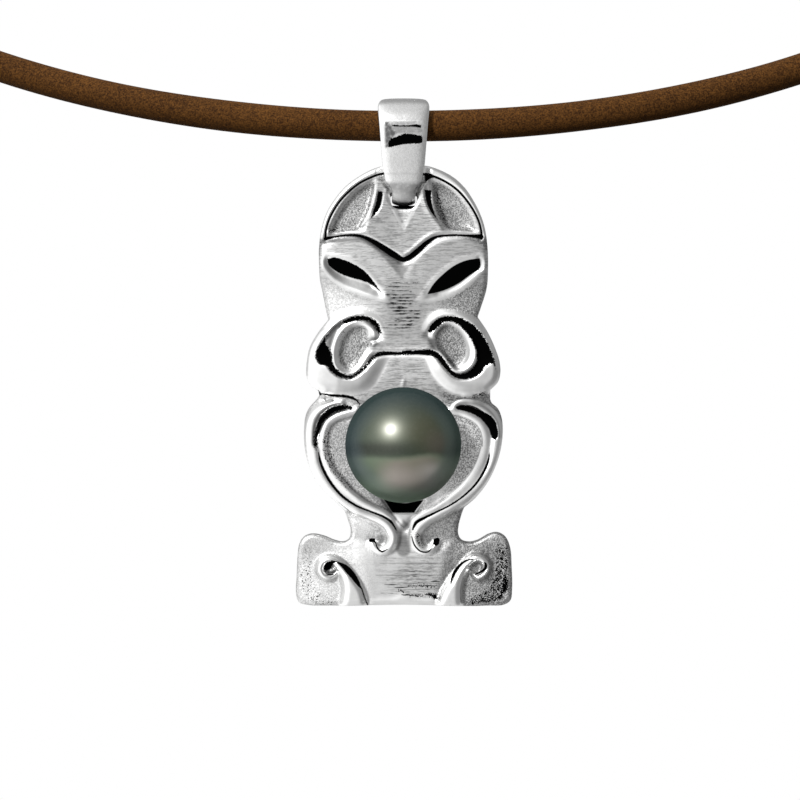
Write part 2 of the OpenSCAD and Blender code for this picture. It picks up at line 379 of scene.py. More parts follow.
def cord_route(n=190):
    right = [loop_side(math.pi * i / n) for i in range(n + 1)]
    right.append(np.array([(right[-1][0] + 4.1) / 2, CLASP_R, 0.0]))
    right.append(np.array([CLASP_L / 2 - CLASP_BORE + 0.1, CLASP_R, 0.0]))
    left = [p * np.array([-1, 1, 1]) for p in right[:0:-1]]
    return np.array(left + right)


def make_cord(material):
    p = cord_route()
    t = np.gradient(p, axis=0)
    t /= np.linalg.norm(t, axis=1)[:, None]
    rng = np.random.default_rng(7)
    m = 28
    along = np.concatenate([[0], np.cumsum(np.linalg.norm(np.diff(p, axis=0), axis=1))])
    # slow swells of a hand-rounded thong, a few hundredths of a millimetre
    phases = rng.uniform(0, 2 * math.pi, 5)
    rings = []
    for i in range(len(p)):
        out = np.array([p[i][0], p[i][1] + (LOOP_DEPTH / 2 - CLASP_R), 0.0])
        side = np.cross(out, t[i])
        side /= np.linalg.norm(side)
        u = np.cross(t[i], side)
        swell = 0.012 * math.sin(along[i] / 3.1 + phases[0]) + 0.010 * math.sin(along[i] / 7.7 + phases[1])
        ring = []
        for k in range(m):
            a = 2 * math.pi * k / m
            r = CORD_RADIUS - 0.02 + swell + 0.006 * math.sin(3 * a + along[i] / 4.3 + phases[2])
            ring.append((p[i] + r * (math.cos(a) * u + math.sin(a) * side)) * MM)
        rings.append(ring)
    verts, faces = sweep(rings)
    return make_object("leather_cord", verts, faces, material)


# ---------------------------------------------------------------------------
# the clasp: a turned barrel with blind bores for the cord's ends
# ---------------------------------------------------------------------------
#               along,  radius   from the middle to the mouth
CLASP_PROFILE = [
    (0.00, 2.12), (0.22, 2.12), (0.30, 2.18), (0.40, 2.24), (1.2, 2.25),
    (6.9, 2.25), (7.00, 2.24), (7.06, 2.16), (7.18, 2.13), (7.30, 2.16), (7.36, 2.24), (7.5, 2.25),
    (8.45, 2.25), (8.70, 2.21), (8.88, 2.10), (8.97, 1.95), (9.00, 1.78),
    (8.99, 1.55), (8.94, 1.45), (8.85, 1.41), (6.5, 1.405), (4.10, 1.40), (4.02, 1.34), (4.0, 1.2)]


def make_clasp(material):
    half = CLASP_PROFILE
    profile = [(-x, r) for x, r in reversed(half[1:])] + list(half)
    m = 72
    rings = []
    for x, r in profile:
        rings.append([np.array([x, CLASP_R + r * math.cos(a), r * math.sin(a)]) * MM
                      for a in (2 * math.pi * k / m for k in range(m))])
    verts, faces = sweep(rings, caps=False)
    n = len(profile)
    # the floors of the two bores
    for ring_index, order in ((0, 1), (n - 1, -1)):
        base = ring_index * m
        x = profile[ring_index][0]
        inner = len(verts)
        verts.append(np.array([x, CLASP_R, 0]) * MM)
        for k in range(m):
            a, b = base + k, base + (k + 1) % m
            faces.append((inner, a, b)[::order])
    zeros = np.full(len(verts), -6.0)
    return make_object("barrel_clasp", verts, faces, material, attributes={"black": zeros, "speckle": zeros * 0, "grey": zeros * 0})


# ---------------------------------------------------------------------------
# the bail: a tapered strip bent into a closed ring, with soft bevels
# ---------------------------------------------------------------------------
BAIL_T, ARCH_R, FOOT_R, BAIL_H = 0.75, 1.55, 1.20, 4.72
#                height, half width
BAIL_WIDTH = [(2.4, 1.78), (2.28, 1.90), (2.15, 2.02), (2.0, 2.09), (1.75, 2.14), (-1.1, 1.93), (-3.25, 1.76), (-4.68, 1.51),
              (-4.95, 1.32), (-5.25, 1.06), (-5.7, 0.98)]


def bail_half_width(z):
    heights, widths = zip(*reversed(BAIL_WIDTH))
    return float(np.interp(z, heights, widths))


def bail_path():
    """Points of the strip's middle line in y and z, with the outward direction, once round."""
    r1, r2 = ARCH_R + BAIL_T / 2, FOOT_R + BAIL_T / 2
    s = math.asin((r1 - r2) / BAIL_H)
    out = []
    for i in range(121):          # over the arch, from front to back
        a = math.pi + s - (math.pi + 2 * s) * i / 120
        out.append((r1 * math.cos(a), r1 * math.sin(a), math.cos(a), math.sin(a)))
    y1, z1, ny, nz = out[-1]
    a = -s
    y2, z2 = r2 * math.cos(a), -BAIL_H + r2 * math.sin(a)
    for i in range(1, 22):
        k = i / 22
        out.append((y1 + (y2 - y1) * k, z1 + (z2 - z1) * k, math.cos(a), math.sin(a)))
    for i in range(81):           # through the pendant, from back to front
        a = -s - (math.pi - 2 * s) * i / 80
        out.append((r2 * math.cos(a), -BAIL_H + r2 * math.sin(a), math.cos(a), math.sin(a)))
    y3, z3, ny, nz = out[-1]
    y4, z4, _, _ = out[0]
    for i in range(1, 60):
        k = i / 60
        out.append((y3 + (y4 - y3) * k, z3 + (z4 - z3) * k, ny, nz))
    return out


#             the front's dark marks, in the drawing's units
BAIL_BAND = [(388.0, 148.4), (388.6, 142.6), (391.0, 139.6), (398, 137.2), (404.6, 134.6), (413, 135.2), (422.4, 137.2), (422.8, 143.6),
             (417, 144.8), (409, 144.9), (402, 145.7), (395, 147.0), (390.0, 148.4)]
BAIL_LINE = [(391.6, 125.8), (400, 126.4), (410, 126.3), (417, 125.4), (421.4, 126.6), (420.6, 129.0), (414, 128.0), (404, 127.9), (393, 127.6)]
BAIL_FILM = [(384.2, 121.6), (388, 122.4), (391.5, 125), (393, 130), (398, 134), (394, 138), (391, 142), (389.4, 147.6), (386, 149.6), (384.8, 148)]


def smooth(s, a, b):
    t = np.clip((s - a) / (b - a), 0, 1)
    return t * t * (3 - 2 * t)


def signed(shape, u, v):
    """Signed distance of loose points to a closed outline, above 0 inside."""
    p = np.asarray(shape, float)
    best = np.full(len(u), 1e9)
    inside = np.zeros(len(u), bool)
    for a, b in zip(p, np.roll(p, -1, axis=0)):
        du, dv = b[0] - a[0], b[1] - a[1]
        t = np.clip(((u - a[0]) * du + (v - a[1]) * dv) / (du * du + dv * dv), 0, 1)
        best = np.minimum(best, np.hypot(u - a[0] - t * du, v - a[1] - t * dv))
        if dv:
            inside ^= ((a[1] > v) != (b[1] > v)) & (u < a[0] + (v - a[1]) * du / dv)
    return np.where(inside, best, -best)


def make_bail(material):
    rings = []
    h = BAIL_T / 2
    for y, z, ny, nz in bail_path():
        w = bail_half_width(z + h * nz)
        # across the strip, from the left edge over the outer face to the right and back inside
        crown = 0.13 * min(max((-4.95 - z) / 0.6, 0), 1)
        section = []
        for k in range(41):
            q = math.sin(math.pi / 2 * (k / 20 - 1))
            edge = 0.10 * (1 - math.sqrt(max(1 - max(abs(q) - 0.94, 0) ** 2 / 0.06 ** 2, 0)))
            section.append((q * w, h - 0.05 * q * q - 0.09 * abs(q) ** 6 - edge))
        e = 0.12
        section += [(w, -h + e), (w - e * 0.3, -h + e * 0.3), (w - e, -h)]
        for k in range(1, 8):
            q = 1 - 2 * k / 8
            section.append((q * (w - e), -h))
        section += [(-w + e, -h), (-w + e * 0.3, -h + e * 0.3), (-w, -h + e)]
        section = [(x, o - crown * (x / w) ** 2 if o > 0 else o) for x, o in section]
        rings.append([np.array([x, 0, 0]) * MM + np.array([0, FRONT_Y + (y + o * ny) * MM, FRONT_Z + (z + o * nz) * MM])
                      for x, o in section])
    verts, faces = sweep(rings, closed=True)
    v = np.array(verts)
    # black marks across the front, below the turn of the arch
    u = X0 + v[:, 0] / MM * 12
    w = Y0 - (v[:, 2] - FRONT_Z) / MM * 12
    front = v[:, 1] < FRONT_Y - 1.2 * MM
    black, speckle = np.full(len(v), -6.0), np.zeros(len(v))
    for shape, rag in ((BAIL_BAND, 0.16), (BAIL_LINE, 0.07)):
        q = signed(shape, u, w)
        m = (q > black) & front
        black = np.where(m, q, black)
        speckle = np.where(m, rag, speckle)
    # a grey film round them, and painted shade where the strip bends through the pendant
    film_and_shade = 0.62 * smooth(w, 120.5, 123.0) * smooth(-w, -137, -133) * smooth(-np.abs(u - 404), -20.5, -17.0)
    film_and_shade = np.maximum(film_and_shade, 0.84 * smooth(signed(BAIL_FILM, u, w), -1.2, 1.6))
    # a painted highlight: the film is cut away round a small spot, which shows bright as a glint
    film_and_shade = film_and_shade * (1 - smooth(-np.hypot(u - 418.7, w - 124.4), -3.0, -1.6))
    film_and_shade = np.maximum(film_and_shade, 0.22 * smooth(-np.abs(w - 174.6), -1.8, 0.0))
    film_and_shade = np.where(front, film_and_shade, 0)
    # painted shade: darker where the strip bends through the pendant's hole
    film_and_shade = np.maximum(film_and_shade, (0.60 - 0.26 * smooth(w, 186, 200)) * smooth(w, 180.5, 185.0))
    o = make_object("bail_strip", verts, faces, material,
                    attributes={"black": np.clip(black, -6, 6), "speckle": speckle, "grey": film_and_shade})
    return o


# ---------------------------------------------------------------------------
# the pendant's drawing: 12 units are 1 mm, x to the viewer's right and y down.
# The cord's centre is at X0, Y0. Heights are mm in front of the cord's centre plane.
# ---------------------------------------------------------------------------
UNIT = 1 / 12
PEARL_AT = np.array([-0.4 * UNIT * MM, FRONT_Y - 3.6 * MM, FRONT_Z - 26.55 * MM])


def curve(points, gap=2.0, closed=False):
    """A smooth line through given points; further columns go along."""
    p = np.asarray(points, float)
    if len(p) < 3 and not closed:
        return p
    ext = np.vstack([p[-1], p, p[0], p[1]]) if closed else np.vstack([2 * p[0] - p[1], p, 2 * p[-1] - p[-2]])
    out = []
    for i in range(1, len(ext) - 2):
        p0, p1, p2, p3 = ext[i - 1], ext[i], ext[i + 1], ext[i + 2]
        n = max(1, int(np.linalg.norm((p2 - p1)[:2]) / gap))
        d01, d12, d23 = (max(np.linalg.norm((b - a)[:2]), 1e-3) ** 0.5 for a, b in ((p0, p1), (p1, p2), (p2, p3)))
        m1 = (p2 - p1) + d12 * ((p1 - p0) / d01 - (p2 - p0) / (d01 + d12))
        m2 = (p2 - p1) + d12 * ((p3 - p2) / d23 - (p3 - p1) / (d12 + d23))
        for k in range(n):
            t = k / n
            out.append((2 * t ** 3 - 3 * t ** 2 + 1) * p1 + (t ** 3 - 2 * t ** 2 + t) * m1
                       + (-2 * t ** 3 + 3 * t ** 2) * p2 + (t ** 3 - t ** 2) * m2)
    if not closed:
        out.append(p[-1])
    return np.array(out)


def outline_of(*stretches):
    """A closed outline from stretches that meet at corners."""
    return np.vstack([curve(s)[:-1] if np.allclose(s[-1], stretches[(i + 1) % len(stretches)][0]) else curve(s)
                      for i, s in enumerate(stretches)])


GRID = 1.0
GU = np.arange(290.0, 518.01, GRID)
GV = np.arange(160.0, 611.01, GRID)
U, V = np.meshgrid(GU, GV)
FAR = 14.0


def window(p, margin):
    i0 = max(int((p[:, 0].min() - margin - GU[0]) / GRID), 0)
    i1 = min(int((p[:, 0].max() + margin - GU[0]) / GRID) + 2, len(GU))
    j0 = max(int((p[:, 1].min() - margin - GV[0]) / GRID), 0)
    j1 = min(int((p[:, 1].max() + margin - GV[0]) / GRID) + 2, len(GV))
    return slice(j0, j1), slice(i0, i1)


def area(p, margin=FAR, near=False):
    """Signed distance to a closed outline, above 0 inside."""
    p = np.asarray(p, float)
    win = window(p, margin)
    u, v = U[win], V[win]
    best = np.full(u.shape, 1e9)
    inside = np.zeros(u.shape, bool)
    if near:
        nu, nv = np.zeros(u.shape), np.zeros(u.shape)
    for a, b in zip(p, np.roll(p, -1, axis=0)):
        du, dv = b[0] - a[0], b[1] - a[1]
        l2 = du * du + dv * dv
        if l2 < 1e-9:
            continue
        t = np.clip(((u - a[0]) * du + (v - a[1]) * dv) / l2, 0, 1)
        cu, cv = a[0] + t * du, a[1] + t * dv
        d = (u - cu) ** 2 + (v - cv) ** 2
        m = d < best
        best[m] = d[m]
        if near:
            nu[m], nv[m] = cu[m], cv[m]
        if (a[1] > b[1]) != (a[1] < b[1]):
            pass
        cross = ((a[1] > v) != (b[1] > v))
        if cross.any():
            x = a[0] + (v - a[1]) * du / (dv if abs(dv) > 1e-12 else 1e-12)
            inside ^= cross & (u < x)
    s = np.where(inside, 1, -1) * np.sqrt(best)
    full = np.full(U.shape, -margin)
    full[win] = np.maximum(s, -margin)
    if near:
        fu, fv = U.copy(), V.copy()
        fu[win], fv[win] = nu, nv
        return full, fu, fv
    return full


def stroke(p, margin=FAR):
    """A tapered stroke through points with a half width: (half width less distance, half width there)."""
    p = np.asarray(p, float)
    win = window(p, margin + p[:, 2].max())
    u, v = U[win], V[win]
    best = np.full(u.shape, -1e9)
    width = np.ones(u.shape)
    for a, b in zip(p[:-1], p[1:]):
        du, dv = b[0] - a[0], b[1] - a[1]
        l2 = du * du + dv * dv
        if l2 < 1e-9:
            continue
        t = np.clip(((u - a[0]) * du + (v - a[1]) * dv) / l2, 0, 1)
        w = a[2] + t * (b[2] - a[2])
        s = w - np.hypot(u - a[0] - t * du, v - a[1] - t * dv)
        m = s > best
        best[m], width[m] = s[m], w[m]
    full, fw = np.full(U.shape, -margin), np.ones(U.shape)
    full[win], fw[win] = np.maximum(best, -margin), width
    return full, fw


def along(p):
    """Distance to an open line."""
    q = np.column_stack([np.asarray(p, float)[:, :2], np.zeros(len(p))])
    return -stroke(q, 60)[0]


def soften(a, times):
    """The same heights with small steps smoothed away."""
    for _ in range(times):
        for axis in (0, 1):
            pad = np.pad(a, [(1, 1) if k == axis else (0, 0) for k in (0, 1)], mode="edge")
            lo, hi = (pad[:-2], pad[2:]) if axis == 0 else (pad[:, :-2], pad[:, 2:])
            a = 0.5 * a + 0.25 * (lo + hi)
    return a


def step(s, a, b):
    t = np.clip((s - a) / (b - a), 0, 1)
    return t * t * (3 - 2 * t)


def roll(s, r):
    """The fall of a rounded edge of radius r units at depth s inside it, in mm."""
    q = np.clip(r - s, 0, r)
    return (r - np.sqrt(np.maximum(r * r - q * q, 0))) * UNIT


def toward(h, target, w):
    return h + (target - h) * w


# ---- outlines, from the middle of the head down -----------------------------
DOME = [(319, 262), (319, 248.4), (321.4, 230), (326.7, 213), (335.9, 197.9), (346.6, 185.8), (358.9, 176.8),
        (371, 170.2), (381.8, 166.6), (392, 165.6), (403.5, 165.4), (416, 165.5), (427, 166.2), (441, 170.8),
        (454.3, 178.3), (465.2, 188.7), (473.4, 201), (479.8, 213.5), (484.4, 227), (487.3, 245.3), (488, 268),
        (486.7, 288), (481, 307), (477.5, 317)]
HEAD_L = [(328.5, 319.5), (326.7, 313), (322.9, 294), (320, 280), (319, 262)]
LOBE_OUT_L = [(318.5, 390.8), (310.5, 384.8), (306.6, 376), (306.8, 362.5), (310, 347), (317.6, 333.4), (328.5, 319.5)]
ARM_OUT_L = [(344.5, 510.5), (333, 499), (319, 484.4), (309.9, 467.8), (305, 449.5), (304, 429.6), (305.8, 414.7),
             (309.9, 406.6), (316, 400), (319.5, 395.5)]
FEET = [(464, 507.6), (461.6, 514.2), (458.5, 525.8), (458.3, 534), (461.6, 539.7), (469, 541.6), (477.4, 539.9),
        (489, 533.6), (497.3, 532.1), (505.2, 536.2), (510.2, 547.4), (511.8, 567.3), (512.2, 588.8), (510.5, 600.5),
        (503, 605.0), (488, 605.6), (472, 606), (440, 605.2), (403, 604.6), (372, 605), (339.7, 605.4), (306.6, 604.8),
        (298.6, 602), (296, 594), (296.6, 575.6), (297.5, 555.7), (299.2, 544), (303.6, 536.8), (311.6, 533.6),
        (323.2, 535.4), (334.8, 540), (343, 541.5), (349, 538.5), (350.8, 531), (348, 520), (344.5, 510.5)]
ARM_OUT_R = [(490.2, 399), (491.5, 402.5), (498, 408.5), (501.8, 418), (502.8, 431.3), (500.6, 449.5), (495.6, 466),
             (487.3, 482.7), (475.7, 497.6), (464, 507.6)]
LOBE_OUT_R = [(477.5, 317), (487.5, 332), (495, 348), (499.5, 362), (500.2, 373.3), (497.8, 382), (490.2, 390)]
OUTLINE = outline_of(DOME, LOBE_OUT_R, [(490.2, 390), (490.2, 399)], ARM_OUT_R, FEET, ARM_OUT_L,
                     [(319.5, 395.5), (318.5, 390.8)], LOBE_OUT_L, HEAD_L)

# ---- the crown ---------------------------------------------------------------
RIM_LINE = [(325.6, 239.5), (326, 231), (329.8, 218.5), (340.5, 200.8), (357.4, 185), (370, 178.2), (380, 174.6),
            (403.5, 172), (424.7, 174.8), (437, 178), (455.3, 188.7), (469, 204), (478.3, 220.8), (481.3, 233), (481.4, 239)]
PANEL_L = outline_of([(376, 180.5), (362, 187.5), (347.5, 201), (337, 217), (331.5, 229), (330.5, 234.2)],
                     [(330.5, 234.2), (345, 232.4), (358, 230), (362.5, 228)],
                     [(362.5, 228), (366.5, 218), (371.5, 205), (374.5, 192), (376, 180.5)])
PANEL_R = outline_of([(431.5, 181), (443, 184), (455.5, 193.5), (466.5, 207.5), (473.5, 222), (476.8, 232.6)],
                     [(476.8, 232.6), (462, 231.5), (450, 230.5), (445.5, 229)],
                     [(445.5, 229), (440.8, 222), (434.8, 209), (432.2, 195), (431.5, 181)])
WIRE_L = [(376.6, 180, 4), (376, 192, 3.8), (372.5, 205, 3.2), (367.5, 217, 2.4), (361, 227, 1.5)]
WIRE_R = [(428.2, 180, 3.6), (427.6, 192, 3.4), (429.8, 203, 3), (434.2, 214, 2.4), (441.5, 226, 1.5)]
SLOT_L = outline_of([(383, 191.5), (381.6, 202.5), (378.6, 210.5), (369.4, 220.8)],
                    [(369.4, 220.8), (373.6, 210.5), (376.2, 202), (378, 191.5)], [(378, 191.5), (383, 191.5)])
SLOT_R = outline_of([(424.4, 190.2), (426.4, 202.5), (430.2, 211.6), (437.9, 221)],
                    [(437.9, 221), (434, 211.6), (431.7, 202.5), (431.2, 190.2)], [(431.2, 190.2), (424.4, 190.2)])
V_LINE = [(325.6, 239, 1.8), (335, 237, 1.1), (348, 235.4, 1.2), (360, 236.2, 1.5), (371, 240.6, 2.1), (382.5, 247.6, 2.9),
          (394.5, 255.4, 3.2), (403, 259.8, 2.5), (410.5, 256.8, 2.7), (418.5, 250.4, 2.7), (427.5, 242.4, 2.2),
          (436, 237.4, 1.4), (450.7, 235.5, 1.1), (466, 235.8, 1.2), (481, 237, 2.4)]
BROW_TOP_L = [(319, 252), (321.4, 247.6), (329.8, 242.3), (342, 239.2), (354.3, 238.6), (368, 241.9), (377.2, 247.3),
              (386.4, 256.2), (395.6, 266.7), (404, 277)]
BROW_TOP_R = [(404, 277), (412.5, 262), (423.2, 249.4), (433.9, 242), (446, 238.8), (458.4, 238.6), (473.7, 242.3),
              (481, 245.6), (488, 252)]

# ---- the eyes ------------------------------------------------------------------
EYE_TOP_L = [(327.3, 259), (334.4, 257.6), (343.6, 259.9), (355.8, 265.2), (366.5, 272.9), (375, 283.6), (382.8, 295.4)]
EYE_CREASE_L = [(382.8, 295.4), (375.7, 287.6), (368, 282.8), (355.8, 279), (342, 274.4), (332.9, 269), (328.3, 264.4), (327.3, 259)]
EYE_LOW_L = [(325.4, 256.8), (322.9, 262), (326.7, 270.3), (334.4, 279.3), (346.6, 287), (361.9, 292.6), (375.7, 297), (386, 300)]
EYE_TOP_R = [(426.8, 294.6), (433.9, 283.6), (443, 274.4), (453.8, 266), (466, 260.6), (479.8, 258.3)]
EYE_CREASE_R = [(479.8, 258.3), (479.9, 267.5), (469, 275.9), (458.4, 283.6), (446, 289.7), (435.4, 293), (426.8, 294.6)]
EYE_LOW_R = [(421.5, 300), (437, 298.3), (450.7, 294.3), (463, 287), (473.7, 277.8), (480.6, 269), (481.6, 257.4)]

# ---- the mouth -----------------------------------------------------------------
LIP_L = outline_of([(381.5, 333), (384.8, 330), (381, 320.6), (373, 313.4), (362, 310.6), (350, 311.6), (338, 315.6), (326, 321)],
                   [(326, 321), (312, 335), (304, 350), (301, 366), (302, 380), (309, 390), (319, 393.5), (332.9, 395), (351.2, 394.4),
                    (364, 390.5), (372.5, 384), (379.5, 374), (384.5, 364), (391, 358.4), (403.6, 357.6)],
                   [(403.6, 357.6), (403.6, 353.6)], [(403.6, 353.6), (384, 352.8), (376, 350), (374, 342), (381.5, 333)])
LIP_R = outline_of([(427.6, 331.6), (422.4, 329), (426.5, 320.2), (434.5, 313.6), (447, 311.2), (461, 312.8), (471, 317), (480, 322)],
                   [(480, 322), (494, 336), (502, 350), (506, 366), (505, 380), (497, 390), (486, 392.5), (466, 395.3), (451, 393),
                    (440, 386), (431.5, 375.5), (427, 366), (420, 358.8), (403.6, 357.6)],
                   [(403.6, 357.6), (403.6, 353.6)], [(403.6, 353.6), (420, 352.6), (431, 350), (434, 342), (427.6, 331.6)])
MOUTH_BLACK_OUT_L = [(381.5, 333), (379.5, 325.5), (374.5, 319.8), (367.5, 316.5), (360, 315.8), (351, 317), (343, 320.5),
                     (335.5, 326), (330, 331.5), (324.4, 338), (319, 345.5), (315.6, 353.5), (315.6, 358.5), (318, 362.5),
                     (322, 364.8), (327, 366.4), (331, 371.5), (337, 376.3), (345, 378.6), (352, 378.4), (358, 375.2),
                     (364, 370.5), (369.5, 364.5), (376, 358), (383, 355.4), (395, 355.1), (403.6, 355)]
MOUTH_BLACK_IN_L = [(403.6, 353.2), (395, 353), (384, 352.6), (376.5, 354.5), (371, 359.5), (366, 366), (360, 371),
                    (354, 375.4), (348, 376.2), (340, 373.5), (335.0, 369.0), (332.0, 364), (331.2, 357), (328.8, 350),
                    (326, 342), (329.5, 335.5), (335.5, 329.5), (342, 324.5), (351, 321), (362, 319.4), (370, 321.2),
                    (375, 326), (378.8, 331.8), (381.5, 333)]
MOUTH_BLACK_OUT_R = [(427.6, 331.6), (430.3, 325.5), (436, 319.8), (443, 316.8), (450, 316.3), (458, 317.3), (466, 320.8),
                     (474, 325.7), (482, 334), (487.5, 343), (491.5, 352), (494.5, 361), (495.8, 371)]
MOUTH_BLACK_LOW_R = [(495.8, 371), (492.5, 364), (487.5, 365), (484.4, 367.6), (480.6, 373.2), (473.7, 377.8), (461.4, 379.6),
                     (453.8, 377), (447.7, 371.6), (441.5, 364.8), (436.2, 358.4), (429.3, 355.2), (420, 354.6), (403.6, 355)]
MOUTH_BLACK_IN_R = [(403.6, 353.2), (420, 352.4), (430, 352), (438.5, 356), (443, 362), (448, 369), (453, 374), (460, 376.2),
                    (467, 374.8), (474, 369.5), (478.8, 362), (478.6, 354), (476.5, 345), (472, 336.5), (466, 329),
                    (459, 322.5), (451, 319.2), (443.5, 320.3), (437.5, 324.5), (432, 329.5), (427.6, 331.6)]
KIDNEY_L = curve([(366, 328), (360, 325.5), (352, 327.5), (345, 334), (340.5, 344), (338.5, 355), (340, 364), (345, 369.5),
                  (351, 370.5), (356.5, 366), (361.5, 358), (366, 351), (369.5, 345), (368.5, 338)], closed=True)
KIDNEY_R = curve([(437.5, 331), (442, 326), (449, 324.5), (456.5, 328.5), (462, 336), (465.5, 345), (466, 354), (463.5, 361),
                  (458.5, 366.5), (453, 368), (448, 362.5), (443, 355.5), (437.5, 349), (435.2, 343), (435, 336)], closed=True)
RING_L = [(374.5, 334.5, 5.0), (371.5, 329.0, 3.6), (364, 323.4, 3), (355, 322.6, 3), (346, 327, 3), (339, 335, 3.2), (335, 345, 3.2),
          (333.8, 356, 3), (335.8, 366, 2.8), (342.5, 372.6, 2.8), (351, 373.6, 2.6), (358.5, 369, 2.6), (364.5, 361, 2.6),
          (370, 353.6, 2.4), (378, 350.4, 1.9), (390, 350, 1.6), (403.6, 350.2, 1.6)]
RING_R = [(432.5, 334, 4.2), (437.5, 327.5, 3.2), (444, 322.8, 2.8), (452, 321.8, 2.8), (460, 325, 2.8), (467, 332.5, 3),
          (472.4, 342, 2.8), (475, 353, 3.2), (472.5, 363, 3.6), (465, 370, 3.2), (456.5, 371.4, 2.8), (450.5, 366.5, 2.6),
          (445, 359, 2.6), (439, 352.6, 2.4), (430, 349.4, 1.9), (417, 350, 1.6), (403.6, 350.2, 1.6)]
CHIN = outline_of([(390, 357.6), (403.6, 357.2), (424, 358)],
                  [(424, 358), (428, 366), (432.5, 375.5), (441, 385), (453, 392.5), (470, 396), (482, 397)],
                  [(482, 397), (470, 404), (450, 412), (403, 416), (357, 412), (350, 402), (335, 399)],
                  [(335, 399), (352, 396.5), (366, 392), (375, 385.4), (381, 374.7), (386.5, 364), (390, 357.6)])

# ---- the arms and the chest --------------------------------------------------------
BAND_L = [(342, 403, 3.4), (330, 405, 4.6), (317, 413.5, 6), (310.5, 428, 6.8), (311, 443, 7.2), (313.5, 458, 7.4), (319, 472, 7.4),
          (328, 486, 7.2), (341, 499, 6.6), (354, 508.5, 5.4), (368, 515.2, 4.6), (381, 521, 4.8), (389.5, 528, 5.2),
          (393.2, 537, 5.2), (390.5, 546, 4.8), (383.5, 550.6, 4), (376.5, 549, 3.6), (371.6, 542.6, 3.6)]
BAND_R = [(453.5, 406.2, 2.6), (458.5, 402.6, 2.8), (466, 402.4, 3.4), (479, 406.0, 4.6), (490, 414, 6), (496, 426, 6.4), (497, 440, 6.4), (495, 455, 6.4), (489.5, 469, 6.6),
          (480, 484, 6.6), (468, 496, 6.2), (454, 505.8, 5.2), (440, 513.4, 4.6), (427, 520, 5), (418, 528, 5.4),
          (414.6, 537, 5.2), (417.5, 546, 4.8), (425, 550.6, 4.1), (432.5, 548.6, 3.7), (436.6, 542, 3.6)]
RIDGE_L = [(357, 410.5, 2.8), (346, 412.5, 3.6), (335, 416.5, 4.2), (328, 421.5, 4.4), (325, 427, 4.4), (322.8, 435, 4.2), (322.3, 445, 4.0),
           (323.6, 455, 3.8), (328, 466, 3.6), (335, 479, 3.5), (345, 490.5, 3.4), (358.5, 500.3, 3.4), (372.5, 507.6, 3.2), (385.5, 513.6, 2.8),
           (393.0, 519.0, 1.6)]
RIDGE_R = [(448, 410.5, 2.8), (459, 411.5, 3.6), (470.5, 415, 4.2), (479.5, 421, 4.4), (484.5, 429, 4.4), (486.4, 438, 4.2), (486.2, 448, 4.0),
           (484.0, 458, 3.8), (479.6, 468.5, 3.6), (472.4, 480.5, 3.5), (462, 491, 3.4), (449, 500.2, 3.4), (434.6, 508.2, 3.2), (421.6, 514.6, 2.8),
           (414.2, 519.6, 1.6)]
COLLAR_L = [(323.0, 436, 1.4), (323.4, 446, 1.7), (325.2, 456, 2.1), (328.4, 465.4, 2.1), (333.4, 472.8, 2.2), (339.5, 479.8, 2.3),
            (346.2, 487.4, 2.3), (353.4, 494.2, 2.1), (361, 499.4, 1.8), (368, 503.8, 1.4)]
COLLAR_R = [(482.4, 448, 1.6), (480.4, 456, 1.9), (477.0, 464.8, 1.8), (472.6, 472.8, 1.7), (467.4, 479.8, 1.6), (461.0, 487.0, 1.6),
            (454.2, 492.8, 1.6), (446.4, 498.4, 1.5), (438.6, 503.2, 1.3)]
ARM_FILM_L = [(345, 406.5), (339.9, 402.2), (334, 402.6), (328.1, 404.6), (322.2, 408.4), (317.1, 413.3), (313.4, 418.8), (312.2, 425.5), (311.6, 433),
              (311.4, 440.2), (311.6, 445), (314.5, 448), (317, 438), (321, 426), (327, 416), (336, 409)]
ARM_FILM_R = [(455.6, 406.6), (456.6, 403.4), (460.8, 401.6), (470, 401.2), (477, 402.4), (483.6, 405.4), (489, 408.8), (494, 414.4), (498, 422),
              (500, 431), (500.4, 438), (497, 438), (494, 424), (487, 416), (476, 410), (462, 407)]
ARM_BLACK_L = outline_of([(354.2, 409.6), (351, 405.6), (345.8, 405.6), (340.6, 405.2), (335.5, 405.6), (331.1, 407.8), (327.6, 410.6), (323.8, 413.9),
                          (320.8, 417.8), (317.8, 423.5), (315.6, 429.4), (314.2, 434.8), (313.4, 440.4), (313.9, 446.1), (316.9, 450.4)],
                         [(316.9, 450.4), (317.6, 443.2), (318.1, 437.3), (320.2, 430.6), (322.3, 425.5), (325.2, 421), (329.8, 416.7),
                          (335.6, 412.8), (341.6, 410.6), (347.5, 409.5), (354.2, 409.6)])
ARM_BLACK_R = outline_of([(455.2, 406.8), (459, 405.2), (463.5, 405.0), (469.2, 406.2), (474.2, 408.0), (481.2, 410.6), (487.6, 413.9), (492.3, 417.1),
                          (495.5, 421.8), (497.2, 427.8), (498.2, 436.0), (495.8, 439.7)],
                         [(495.8, 439.7), (492.9, 439.2), (490.7, 435.5), (489.5, 430.7), (486.4, 425.2), (481.6, 419.7), (476.2, 415.8),
                          (470, 412.8), (462.9, 410.8), (456.6, 409.2), (455.2, 406.8)])
ARM_LINE_L = [(318.6, 452, 0.6), (320, 460, 1.3), (323.6, 470, 1.5), (331.8, 484, 1.5), (343, 496.5, 1.4), (356.5, 505.6, 1.2),
              (371, 511.6, 1.0), (383, 516.4, 1.2), (391, 521.6, 1.3), (396.4, 530, 0.7)]
ARM_LINE_R = [(489.6, 452, 0.5), (488, 461, 1.2), (484, 471, 1.3), (475.5, 484, 1.1), (465, 494.5, 1.0), (452, 503.8, 0.9),
              (436, 512, 1.0), (423.6, 518, 1.4), (416, 522.5, 1.6), (412.6, 529.5, 0.8)]
